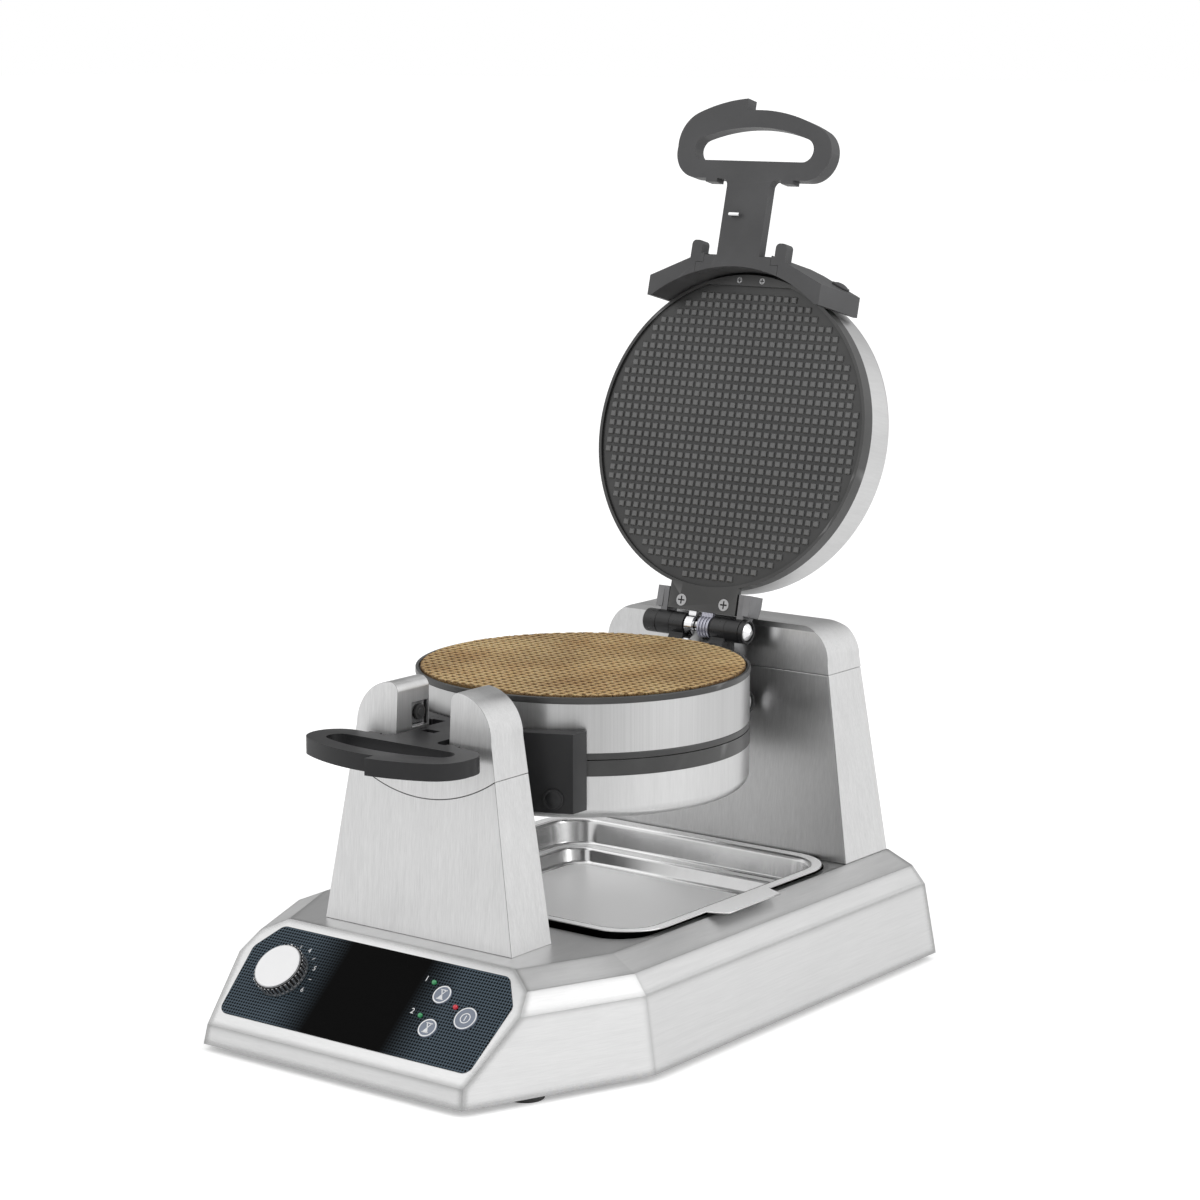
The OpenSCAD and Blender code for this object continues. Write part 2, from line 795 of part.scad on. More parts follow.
// outline of the wrap-round cover: flat middle, flat wings, square ends
module cover_outline() {
  x = wing_root[0];
  w = wing_end[0];
  difference() {
    polygon([
      [-w, wing_back], [-w, wing_end[1]], [-x, wing_root[1]], [-foot_hw, -115.5],
      [foot_hw, -115.5], [x, wing_root[1]], [w, wing_end[1]], [w, wing_back]]);
    circle(cover_in);
  }
}

module handle_base() {
  wing = atan2(wing_end[1] - wing_root[1], wing_end[0] - wing_root[0]);
  difference() {
    union() {
      translate([0, 0, base_z0]) linear_extrude(cover_h - base_z0) cover_outline();
      difference() {
        translate([0, 0, skin_z + 4]) cylinder(h = 15, r = cover_in + 1);
        translate([0, 0, -50]) cylinder(h = 200, r = plate_r - 0.4);
        translate([-200, -98, -50]) cube([400, 400, 200]);
      }
      mirror_x() translate([0, 0, base_z0]) linear_extrude(8) rrect(29, -123.5, 37.5, -108, 3);
      mirror_x() translate([57, -103.2, 40]) rotate([0, 0, wing]) bar_y(-1.4, 1, 0, 0, 6.2);
    }
    translate([-foot_hw - 0.2, -140, -1]) cube([2 * foot_hw + 0.4, 31.2, stem_h + 1.5]);
    translate([-foot_hw - 6.2, -109, -1]) cube([2 * foot_hw + 12.4, 20, stem_h + 1.5]);
  }
}

// straight-backed outline with round ends tangent to an arched front
module bow(hw, arch, back, front) {
  c = front + arch;
  d = c - back;
  b = d + arch - hw;
  r = sqrt(b * b + arch * arch - hw * hw - d * d) - b;
  x = hw - r;
  y = back - r;
  for (s = [-1, 1]) translate([s * x, y]) circle(r);
  intersection() {
    translate([0, c]) circle(arch);
    polygon([[-x, back], [x, back], [x, y], [2 * x, 2 * y - c], [-2 * x, 2 * y - c], [-x, y]]);
  }
}

module stem_outline() {
  translate([-stem_hw, -168]) square([2 * stem_hw, 56]);
  difference() {
    translate([-foot_hw, -114]) square([2 * foot_hw, 10]);
    circle(cover_in);
  }
  difference() {
    translate([-foot_hw - 6, -108.8]) square([2 * foot_hw + 12, 10]);
    circle(cover_in);
  }
  mirror_x() difference() {
    translate([stem_hw - 1, loop_back - 1]) square([6, 6]);
    translate([stem_hw + 5, loop_back + 5]) circle(5);
  }
}

// stem and finger loop with a thumb tab on one half, pocket for the other handle's catch
module handle(pocket) {
  color("#333333") translate([0, 0, base_z0]) {
    difference() {
      linear_extrude(stem_h) stem_outline();
      if (pocket) translate([0.8, -144, -1]) cube([10.4, 6, 6]);
    }
    linear_extrude(loop_h) difference() {
      union() {
        bow(loop_hw, loop_arch, loop_back, loop_front);
        intersection() {
          bow(loop_hw, loop_arch, loop_back, loop_front - 8);
          translate([-loop_hw - 5, -230]) square([loop_hw - 5, 60]);
        }
      }
      bow(loop_hw - 14, 122, loop_back - 12, loop_front + 11.5);
    }
    for (x = [-30, 30]) translate([x - 4.5, loop_back - 0.5, 0]) cube([9, 3, loop_h - 2]);
  }
}

// bent catch on the stem's parting face
module latch_hook() {
  translate([-9, -141, base_z0 - 2.7]) {
    cylinder(h = 2.7, r = hook_r);
    sphere(hook_r);
    rotate([0, 90, 0]) cylinder(h = 7.5, r = hook_r);
  }
}

module low_lid_shell() {
  color("silver") low_place() lid_shell();
}

module low_lid_plate() {
  color("dimgray") low_place() lid_plate();
}

module low_lid_element() {
  color("firebrick") low_place() lid_element();
}

module low_lid_hinge() {
  color("gray") low_place() lid_hinge();
}

module low_hinge_screws() {
  color("gainsboro") low_place() hinge_screws();
}

module low_handle_base() {
  color("#333333") low_place() handle_base();
}

module low_handle() {
  low_place() handle(true);
}

module top_lid_shell() {
  color("silver") top_place() lid_shell();
}

module top_lid_plate() {
  color("dimgray") top_place() lid_plate();
}

module top_lid_element() {
  color("firebrick") top_place() lid_element();
}

module top_lid_hinge() {
  color("gray") top_place() lid_hinge();
}

module top_hinge_screws() {
  color("gainsboro") top_place() hinge_screws();
}

module top_handle_base() {
  color("#333333") top_place() handle_base();
}

module top_handle() {
  top_place() handle(false);
}

module top_latch_hook() {
  color("gainsboro") top_place() latch_hook();
}

// strap and ribbed wiring tube that wrap round the pin and turn with the lid
module lid_wrap(x, w, r0, r1) {
  translate([x, hinge_y, core_h + hinge_up]) rotate([0, 90, 0]) rotate([0, 0, 240])
    rotate_extrude(angle = 190) translate([r0, 0]) square([r1 - r0, w]);
}

module lid_strap() {
  color("gainsboro") top_place() {
    lid_wrap(-10, 6, pin_r + 0.5, pin_r + 3.2);
    translate([-10, 119.6, core_h + hinge_up - 3.2]) cube([6, 3, 2.6]);
  }
}

module lid_conduit() {
  color("slateblue") top_place() {
    for (i = [0 : 3]) lid_wrap(0.4 + 2.4 * i, 1.6, pin_r + 0.5, pin_r + 3.4);
    lid_wrap(0.4, 8.8, pin_r + 0.5, pin_r + 2.6);
    translate([0.4, 119.6, core_h + hinge_up - 3.2]) cube([8.8, 3, 2.6]);
  }
}

// ---------- product ----------

module waffle() {
  color("goldenrod") translate([0, 0, axis_z + core_h - 1.6]) difference() {
    union() {
      cylinder(h = 2.4, r = recess_r - 0.6);
      translate([0, 0, 1.65]) cylinder(h = 1.2, r = recess_r - 1.2);
    }
    translate([-50, -150 - recess_front + 0.7, -1]) cube([100, 150, 9]);
  }
}

// ---------- selection ----------

base_housing();
base_pan();
rubber_feet();
foot_screws();
drip_well();
control_fascia();
control_board();
board_standoffs();
thermostat_body();
timer_relay();
terminal_block();
leds_green();
led_red();
front_tower();
front_tower_cap();
roller_brackets();
stem_rollers();
rear_tower();
rear_tower_cap();
tower_screws();
bearing_pedestal();
bearing_bush();
cord_gland();
power_cord();
cord_plug();
thermostat_shaft();
thermostat_knob();
power_button();
timer_button_1();
timer_button_2();
drip_tray();
core_band();
core_upper_plate();
core_lower_plate();
core_upper_element();
core_lower_element();
core_insulation();
trunnion();
hinge_yoke();
hinge_pins();
pin_nuts();
low_lid_shell();
low_lid_plate();
low_lid_element();
low_lid_hinge();
low_hinge_screws();
low_handle_base();
low_handle();
top_lid_shell();
top_lid_plate();
top_lid_element();
top_lid_hinge();
top_hinge_screws();
top_handle_base();
top_handle();
top_latch_hook();
lid_strap();
lid_conduit();
waffle();
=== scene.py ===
import json
import math

import bpy
from mathutils import Matrix, Vector


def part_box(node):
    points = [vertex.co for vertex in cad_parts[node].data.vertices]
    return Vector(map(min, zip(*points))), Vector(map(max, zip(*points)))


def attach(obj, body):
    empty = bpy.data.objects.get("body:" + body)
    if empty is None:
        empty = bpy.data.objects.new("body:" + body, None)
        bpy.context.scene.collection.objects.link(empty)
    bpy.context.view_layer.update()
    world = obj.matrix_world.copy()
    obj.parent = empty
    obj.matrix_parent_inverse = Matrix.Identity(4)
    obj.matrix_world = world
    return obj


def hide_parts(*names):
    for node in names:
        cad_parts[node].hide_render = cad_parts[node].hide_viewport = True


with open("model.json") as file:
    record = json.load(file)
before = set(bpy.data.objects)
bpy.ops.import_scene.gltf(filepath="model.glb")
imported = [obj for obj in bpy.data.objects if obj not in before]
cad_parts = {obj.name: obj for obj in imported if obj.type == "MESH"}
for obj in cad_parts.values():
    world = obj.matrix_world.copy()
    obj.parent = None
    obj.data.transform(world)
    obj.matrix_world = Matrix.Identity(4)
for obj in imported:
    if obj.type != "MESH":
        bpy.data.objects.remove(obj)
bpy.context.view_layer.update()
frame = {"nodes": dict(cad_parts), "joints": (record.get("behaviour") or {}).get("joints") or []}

MM = 0.001
NODES = frame["nodes"]
JOINTS = {j["name"]: j for j in frame["joints"]}


# ---------- places taken from the frame ----------

def centre(node):
    lo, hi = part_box(node)
    return (lo + hi) / 2


def shut_to_open():
    """Matrix that takes the top lid from shut, flat on the core, to its place in the frame."""
    joint = JOINTS["lid_hinge"]
    pivot = Matrix.Translation(Vector(joint["pos_m"]))
    turn = Matrix.Rotation(-math.radians(joint["range_deg"][1]), 4, "X")
    return pivot @ turn @ pivot.inverted()


PLATE_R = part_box("core_upper_plate")[1].x
AXIS_Z = centre("core_band").z
CORE_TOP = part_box("core_upper_plate")[1].z
LID_FACE = 2 * AXIS_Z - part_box("low_lid_plate")[1].z      # parting plane of a shut top lid
RECESS = 1.6 * MM                                         # depth of the baking recess in each plate
RECESS_R = PLATE_R - 2.2 * MM                             # the plate's rim is left round the recess
LID_PLATE_FLAT = 97.5 * MM                                # flat front edge of the lid plates' recess
OPEN_LID = shut_to_open()
LOW_LID = Matrix.Translation((0, 0, 2 * AXIS_Z)) @ Matrix.Diagonal((-1, 1, -1, 1))   # turned over

PITCH = 6 * MM                                            # baking pattern, one stud or pocket a cell
STUD_FOOT, STUD_NECK, STUD_CROWN = 2.1 * MM, 1.9 * MM, 1.5 * MM      # half widths, base to top
STUD_TALL = 1.2 * MM
POCKET_HALF, POCKET_WALL = 1.95 * MM, 0.4 * MM            # half of a pocket's floor, its sloping side


def panel_frame():
    """Frame of the fascia: X across, Y up the slope, Z out of it, origin on its face under the knob."""
    out = -Vector(JOINTS["thermostat_turn"]["axis"]).normalized()
    across = Vector((1, 0, 0))
    up = out.cross(across)
    face = max(out.dot(v.co) for v in NODES["control_fascia"].data.vertices)
    knob = Vector(JOINTS["thermostat_turn"]["pos_m"])
    origin = knob + out * (face - out.dot(knob))
    rows = Matrix((across, up, out)).transposed().to_4x4()
    return Matrix.Translation(origin) @ rows


PANEL = panel_frame()


def on_panel(node):
    """Centre of a control in panel coordinates, across and up the slope."""
    spot = PANEL.inverted() @ centre(node)
    return spot.x, spot.y


# ---------- materials ----------

def new_material(name):
    material = bpy.data.materials.new(name)
    material.use_nodes = True
    tree = material.node_tree
    return material, tree, tree.nodes["Principled BSDF"]


def add(tree, kind, values=None, **settings):
    """Adds a shader node. A value that is a socket is linked, any other is set."""
    node = tree.nodes.new("ShaderNode" + kind)
    for key, value in settings.items():
        setattr(node, key, value)
    for key, value in (values or {}).items():
        plug(tree, node, key, value)
    return node


def plug(tree, node, key, value):
    if isinstance(value, bpy.types.NodeSocket):
        tree.links.new(value, node.inputs[key])
    else:
        node.inputs[key].default_value = value


def coords(tree, place=None):
    """Object coordinates, taken back to the shut-lid frame when a placing matrix is given."""
    here = add(tree, "TexCoord").outputs["Object"]
    if place is None:
        return here
    back = place.inverted()
    values = {"Vector": here, "Location": back.translation, "Rotation": back.to_euler()}
    return add(tree, "Mapping", values).outputs["Vector"]


def scaled(tree, vector, scale):
    return add(tree, "Mapping", {"Vector": vector, "Scale": scale}).outputs["Vector"]


def noise(tree, vector, scale, detail=3.0, rough=0.5):
    values = {"Vector": vector, "Scale": scale, "Detail": detail, "Roughness": rough}
    return add(tree, "TexNoise", values).outputs["Fac"]


def maths(tree, operation, a, b=0.0, clamp=False):
    return add(tree, "Math", {0: a, 1: b}, operation=operation, use_clamp=clamp).outputs[0]


def fit(tree, value, lo, hi, to_lo=0.0, to_hi=1.0):
    values = {"Value": value, "From Min": lo, "From Max": hi, "To Min": to_lo, "To Max": to_hi}
    return add(tree, "MapRange", values).outputs["Result"]


def blend(tree, factor, a, b):
    """Mixes two colours."""
    node = add(tree, "Mix", data_type="RGBA")
    plug(tree, node, 0, factor)
    for key, value in ((6, a), (7, b)):
        plug(tree, node, key, value if isinstance(value, bpy.types.NodeSocket) else rgba(value))
    return node.outputs[2]


def rgba(colour):
    return (*colour, 1.0) if len(colour) == 3 else colour


def times(tree, factor, a, b):
    """Multiplies colour a by colour b, as far as factor says."""
    node = add(tree, "Mix", {0: factor, 6: a, 7: b}, data_type="RGBA", blend_type="MULTIPLY")
    return node.outputs[2]


def part(tree, vector, axis):
    """One component of a vector."""
    return add(tree, "SeparateXYZ", {"Vector": vector}).outputs[axis]


def surface_normal(tree):
    return add(tree, "NewGeometry").outputs["Normal"]


def openness(tree, distance, **settings):
    """Near 1 on open faces, less in corners and slots."""
    return add(tree, "AmbientOcclusion", {"Distance": distance}, **settings).outputs["AO"]


def colour_source(shader):
    """The socket that feeds a finished material's base colour."""
    return shader.inputs["Base Color"].links[0].from_socket


def bump(tree, shader, height, strength, distance=0.2 * MM):
    values = {"Height": height, "Strength": strength, "Distance": distance}
    plug(tree, shader, "Normal", add(tree, "Bump", values).outputs["Normal"])


def convex_edge_mask(tree, lo=0.52, hi=0.62):
    """1 on convex edges, 0 elsewhere."""
    return fit(tree, add(tree, "NewGeometry").outputs["Pointiness"], lo, hi)


def brushed_steel(name, stretch, tone=0.62, rough=0.34, place=None, aniso=0.5, turn=0.25,
                  contrast=0.09):
    """Satin steel with brush lines; stretch is the noise scale on each axis, small along the grain."""
    material, tree, shader = new_material(name)
    spot = coords(tree, place)
    fine = noise(tree, scaled(tree, spot, stretch), 1.0, 4.0, 0.65)
    coarse = noise(tree, scaled(tree, spot, [s * 0.22 for s in stretch]), 1.0, 2.0)
    smudge = noise(tree, spot, 14.0, 4.0, 0.6)
    lines = maths(tree, "MULTIPLY_ADD", fine, 0.7)
    tree.links.new(maths(tree, "MULTIPLY", coarse, 0.3), lines.node.inputs[2])
    lo = [tone * (1 - contrast)] * 3
    hi = [tone * (1 + contrast)] * 3
    grain = blend(tree, fit(tree, lines, 0.32, 0.68), lo, hi)
    soft = blend(tree, fit(tree, smudge, 0.35, 0.7), (0.97, 0.97, 0.97), (1.0, 1.0, 1.0))
    plug(tree, shader, "Base Color", times(tree, 1.0, grain, soft))
    plug(tree, shader, "Metallic", 1.0)
    spread = maths(tree, "MULTIPLY_ADD", lines, 0.16)
    tree.links.new(fit(tree, smudge, 0.3, 0.75, rough - 0.1, rough - 0.05), spread.node.inputs[2])
    plug(tree, shader, "Roughness", spread)
    plug(tree, shader, "Anisotropic", aniso)
    plug(tree, shader, "Anisotropic Rotation", turn)
    bump(tree, shader, lines, 0.12, 0.05 * MM)
    return material


def darken(material, mask, share):
    """Multiplies the base colour by share where mask is 1."""
    tree = material.node_tree
    shader = tree.nodes["Principled BSDF"]
    shade = times(tree, mask, colour_source(shader), rgba([share] * 3))
    plug(tree, shader, "Base Color", shade)


def upright_steel(name="steel_upright", front=1.0):
    """Tower sheet with upright grain and painted shade along its bends; front is a painted shade on the
    front face, as a share of its colour.
    """
    material = brushed_steel(name, (1500, 1500, 14), tone=0.72, rough=0.34)
    tree = material.node_tree
    facing = part(tree, surface_normal(tree), "Y")
    square = maths(tree, "POWER", facing, 2.0)
    across = maths(tree, "SQRT", maths(tree, "SUBTRACT", 1.0, square, clamp=True))
    bend = maths(tree, "MULTIPLY", maths(tree, "ABSOLUTE", facing), across)
    # painted shade along the bends, where the normal turns between front and side
    darken(material, fit(tree, bend, 0.22, 0.46), 0.40)
    # painted shade on the front face, for the shadow the iron casts on the rear tower
    if front < 1.0:
        darken(material, fit(tree, facing, -0.85, -0.97), front)
    return material


def base_steel():
    """Base sheet, with painted shade along its creases."""
    material = brushed_steel("steel_base", (160, 40, 1500), tone=0.72, rough=0.36, aniso=0.2, contrast=0.05)
    tree = material.node_tree
    soft = add(tree, "Bevel", {"Radius": 6 * MM}).outputs["Normal"]
    true = add(tree, "NewGeometry").outputs["True Normal"]
    match = add(tree, "VectorMath", {0: soft, 1: true}, operation="DOT_PRODUCT").outputs["Value"]
    # painted shade where the rounded normal leaves the true normal, along creases and edges
    darken(material, fit(tree, match, 0.998, 0.955), 0.45)
    return material


def band_steel():
    return brushed_steel("steel_band", (1100, 1100, 7), tone=0.58, rough=0.33, aniso=0.6, contrast=0.07)


def lid_steel(name, place):
    return brushed_steel(name, (700, 700, 60), tone=0.68, rough=0.34, place=place, aniso=0.35, contrast=0.05)


def pan_steel():
    return brushed_steel("steel_mill", (60, 300, 60), tone=0.5, rough=0.45)


def polished_steel():
    """Pressed tray: bright walls with drawing lines and water marks, rim and floor duller, their flat faces
    painted near white as a painted reflection of the bright surround.
    """
    material, tree, shader = new_material("steel_polished")
    spot = coords(tree)
    lines = noise(tree, scaled(tree, spot, (900, 25, 60)), 1.0, 3.0)
    marks = noise(tree, spot, 30.0, 5.0, 0.65)
    flat = fit(tree, part(tree, surface_normal(tree), "Z"), 0.97, 0.995)
    tone = blend(tree, fit(tree, marks, 0.3, 0.7), (0.62, 0.62, 0.62), (0.72, 0.72, 0.72))
    # painted reflection: flat faces near white and mostly non-metallic
    plug(tree, shader, "Base Color", blend(tree, flat, tone, (0.97, 0.97, 0.97)))
    plug(tree, shader, "Metallic", fit(tree, flat, 0.0, 1.0, 1.0, 0.2))
    dull = maths(tree, "MULTIPLY", flat, 0.22)
    worn = fit(tree, maths(tree, "MULTIPLY", marks, lines), 0.1, 0.5, 0.14, 0.26)
    plug(tree, shader, "Roughness", maths(tree, "ADD", worn, dull))
    bump(tree, shader, marks, 0.02, 0.1 * MM)
    return material


def bright_steel(name="steel_bright", tone=0.86, rough=0.16):
    """Plated screws, pins and hooks, with painted shade in their slots and hollows."""
    material, tree, shader = new_material(name)
    spot = coords(tree)
    speck = noise(tree, spot, 500.0, 3.0)
    hollow = fit(tree, openness(tree, 2 * MM), 0.35, 0.9)
    # painted shade: near black where ambient occlusion finds a slot or hollow
    painted_slot_shade = blend(tree, hollow, (0.02, 0.02, 0.02), (tone, tone, tone * 1.01))
    plug(tree, shader, "Base Color", painted_slot_shade)
    plug(tree, shader, "Metallic", 1.0)
    plug(tree, shader, "Roughness", fit(tree, speck, 0.3, 0.7, rough - 0.05, rough + 0.08))
    bump(tree, shader, speck, 0.05, 0.05 * MM)
    return material


def slotted_screw(name, place):
    """Zinc screw heads in a lid's parting face, with painted shade, black and non-metallic, in their cross
    slots.
    """
    material = bright_steel(name, 0.40, 0.30)
    tree = material.node_tree
    shader = tree.nodes["Principled BSDF"]
    depth = part(tree, coords(tree, place), "Z")
    deep = fit(tree, depth, LID_FACE + 0.45 * MM, LID_FACE + 0.65 * MM)
    # painted shade at the bottom of the cross slots
    plug(tree, shader, "Base Color", blend(tree, deep, colour_source(shader), (0.004, 0.004, 0.004)))
    plug(tree, shader, "Metallic", maths(tree, "SUBTRACT", 1.0, deep))
    return material


def moulded(name, colour, rough=0.42, grain=900.0, depth=0.25, edge=0.10, coat=0.0, shine=0.5):
    """Moulded plastic or rubber: fine spark texture, slight mottling, edges rubbed lighter."""
    material, tree, shader = new_material(name)
    spot = coords(tree)
    spark = noise(tree, spot, grain, 2.0, 0.6)
    mottle = noise(tree, spot, 22.0, 4.0)
    dark = [c * 0.85 for c in colour]
    light = [min(1.0, c * 1.15 + 0.004) for c in colour]
    body = blend(tree, fit(tree, mottle, 0.3, 0.7), dark, light)
    edge_rub_and_highlight = [min(1.0, c + edge) for c in colour]
    plug(tree, shader, "Base Color", blend(tree, maths(tree, "MULTIPLY", convex_edge_mask(tree), 0.45), body, edge_rub_and_highlight))
    plug(tree, shader, "Roughness", fit(tree, mottle, 0.3, 0.7, rough - 0.05, rough + 0.07))
    plug(tree, shader, "Specular IOR Level", shine)
    plug(tree, shader, "Coat Weight", coat)
    plug(tree, shader, "Coat Roughness", 0.12)
    bump(tree, shader, spark, depth, 0.08 * MM)
    return material


def cast_metal(name, colour, rough=0.38, metallic=0.75, grain=420.0):
    """Cast or enamelled metal: grainy skin, bare metal showing at the edges."""
    material, tree, shader = new_material(name)
    spot = coords(tree)
    pits = noise(tree, spot, grain, 4.0, 0.6)
    cloud = noise(tree, spot, 35.0, 3.0)
    body = blend(tree, fit(tree, cloud, 0.3, 0.7), [c * 0.82 for c in colour], [c * 1.15 for c in colour])
    bare = [min(1.0, c + 0.25) for c in colour]
    plug(tree, shader, "Base Color", blend(tree, maths(tree, "MULTIPLY", convex_edge_mask(tree), 0.35), body, bare))
    plug(tree, shader, "Metallic", metallic)
    plug(tree, shader, "Roughness", fit(tree, pits, 0.3, 0.7, rough - 0.06, rough + 0.08))
    bump(tree, shader, pits, 0.2, 0.08 * MM)
    return material


def hinge_casting(name, height):
    """Grey cast bracket whose knuckles, round the pin at the given height, are enamelled black."""
    material = cast_metal(name, (0.20, 0.20, 0.205), rough=0.36, metallic=0.9)
    tree = material.node_tree
    shader = tree.nodes["Principled BSDF"]
    pin_y = JOINTS["lid_hinge"]["pos_m"][1]
    spot = coords(tree)
    squares = []
    for axis, middle in (("Y", pin_y), ("Z", height)):
        away = maths(tree, "SUBTRACT", part(tree, spot, axis), middle)
        squares.append(maths(tree, "POWER", away, 2.0))
    reach = maths(tree, "SQRT", maths(tree, "ADD", *squares))
    enamel = fit(tree, reach, 8.4 * MM, 8.2 * MM)
    body = blend(tree, enamel, colour_source(shader), (0.014, 0.014, 0.015))
    plug(tree, shader, "Base Color", body)
    plug(tree, shader, "Metallic", fit(tree, enamel, 0.0, 1.0, 0.9, 0.0))
    return material


def nonstick():
    """Dark release coating on the plates, seasoned in patches, with painted shade, black, between the studs
    and a painted highlight on the stud rims.
    """
    material, tree, shader = new_material("nonstick_coating")
    spot = coords(tree)
    pits = noise(tree, spot, 800.0, 3.0, 0.6)
    oil = noise(tree, spot, 16.0, 4.0, 0.6)
    body = blend(tree, fit(tree, oil, 0.35, 0.7), (0.026, 0.026, 0.026), (0.046, 0.046, 0.045))
    # painted shade: near black where ambient occlusion finds the gaps between the studs
    air = fit(tree, openness(tree, 3 * MM, samples=4), 0.45, 0.85)
    body = blend(tree, air, (0.001, 0.001, 0.001), body)
    # painted highlight on the stud rims, grey on convex edges
    edge_rub_and_highlight = maths(tree, "MULTIPLY", convex_edge_mask(tree), 0.6)
    plug(tree, shader, "Base Color", blend(tree, edge_rub_and_highlight, body, (0.20, 0.20, 0.20)))
    plug(tree, shader, "Metallic", 0.1)
    plug(tree, shader, "Roughness", fit(tree, oil, 0.3, 0.75, 0.40, 0.26))
    plug(tree, shader, "Specular IOR Level", 0.6)
    bump(tree, shader, pits, 0.2, 0.06 * MM)
    return material


def panel_coords(tree):
    """Panel coordinates in millimetres, from the middle of the fascia."""
    middle = PANEL @ Matrix.Translation((-PANEL.translation.x, 0, 0))
    return scaled(tree, coords(tree, middle), [1 / MM] * 3)


def fascia_print():
    """Printed film: slate ground with round black dots that run together towards a black middle."""
    material, tree, shader = new_material("fascia_print")
    spot = panel_coords(tree)
    dots = dot_mask(tree, spot, 2.0, 0.74)
    fade = fit(tree, maths(tree, "ABSOLUTE", part(tree, spot, "X")), 30.0, 58.0)
    slate = blend(tree, fade, (0.001, 0.001, 0.001), (0.078, 0.104, 0.128))
    plug(tree, shader, "Base Color", blend(tree, dots, slate, (0.001, 0.001, 0.001)))
    plug(tree, shader, "Roughness", fit(tree, noise(tree, spot, 0.4), 0.3, 0.7, 0.34, 0.44))
    plug(tree, shader, "Specular IOR Level", 0.03)
    bump(tree, shader, noise(tree, spot, 4.0, 2.0), 0.08, 0.03 * MM)
    return material


def dot_mask(tree, spot, pitch, radius):
    """1 inside each dot of a square grid."""
    clear = 1000.0 * pitch                  # keeps the wrapped value positive
    squares = []
    for axis in "XY":
        ahead = maths(tree, "ADD", part(tree, spot, axis), clear)
        squares.append(maths(tree, "POWER", maths(tree, "PINGPONG", ahead, pitch / 2), 2.0))
    reach = maths(tree, "SQRT", maths(tree, "ADD", *squares))
    return fit(tree, reach, radius + 0.1, radius - 0.1)


def knob_top():
    """Height of the knob's face above the fascia."""
    back = PANEL.inverted()
    return max((back @ v.co).z for v in NODES["thermostat_knob"].data.vertices)


def knob_finish():
    """Spun white face inside a bright ring, black skirt whose rib crests are bare metal."""
    material, tree, shader = new_material("knob_face_and_skirt")
    face_r, crest_r, face_deep = 14.3, 16.0, 0.95         # millimetres
    spot = scaled(tree, coords(tree, PANEL), [1 / MM] * 3)
    flat = add(tree, "CombineXYZ", {axis: part(tree, spot, axis) for axis in "XY"}).outputs[0]
    radius = add(tree, "VectorMath", {0: flat}, operation="LENGTH").outputs["Value"]
    spin = noise(tree, add(tree, "CombineXYZ", {"X": radius}).outputs[0], 6.0, 3.0)
    face_z = knob_top() / MM - face_deep
    on_face = fit(tree, part(tree, spot, "Z"), face_z, face_z + 0.1)
    ring = fit(tree, radius, face_r, face_r + 0.1)
    crest = fit(tree, radius, crest_r, crest_r + 0.2)
    face = blend(tree, ring, (0.88, 0.88, 0.885), (0.62, 0.62, 0.63))
    skirt = blend(tree, crest, (0.012, 0.012, 0.013), (0.75, 0.75, 0.76))
    plug(tree, shader, "Base Color", blend(tree, on_face, skirt, face))
    bare_crest = maths(tree, "MULTIPLY", crest, maths(tree, "SUBTRACT", 1.0, on_face))
    bare_ring = maths(tree, "MULTIPLY", on_face, ring)
    plug(tree, shader, "Metallic", maths(tree, "MAXIMUM", bare_crest, bare_ring))
    plug(tree, shader, "Roughness", fit(tree, spin, 0.3, 0.7, 0.25, 0.4))
    bump(tree, shader, spin, 0.1, 0.05 * MM)
    return material


def lens(name, colour, glow):
    """Indicator lens, glossy and faintly lit."""
    material, tree, shader = new_material(name)
    haze = noise(tree, coords(tree), 900.0)
    plug(tree, shader, "Base Color", blend(tree, haze, [c * 0.6 for c in colour], colour))
    plug(tree, shader, "Roughness", 0.2)
    plug(tree, shader, "Coat Weight", 0.6)
    plug(tree, shader, "Emission Color", rgba(colour))
    plug(tree, shader, "Emission Strength", glow)
    return material


def print_white():
    """White ink of the panel's figures, ticks and icons."""
    material, tree, shader = new_material("print_white")
    ink = noise(tree, coords(tree), 1500.0)
    plug(tree, shader, "Base Color", blend(tree, ink, (0.72, 0.73, 0.74), (0.86, 0.86, 0.87)))
    plug(tree, shader, "Roughness", 0.45)
    return material


def heat_tint():
    """Heating tube, straw to blue where it has been hot."""
    material, tree, shader = new_material("element_heat_tint")
    spot = coords(tree)
    heat = noise(tree, spot, 24.0, 3.0)
    tint = blend(tree, fit(tree, heat, 0.35, 0.65), (0.33, 0.24, 0.16), (0.20, 0.21, 0.27))
    plug(tree, shader, "Base Color", tint)
    plug(tree, shader, "Metallic", 1.0)
    plug(tree, shader, "Roughness", fit(tree, heat, 0.3, 0.7, 0.3, 0.45))
    bump(tree, shader, noise(tree, spot, 700.0), 0.15, 0.05 * MM)
    return material


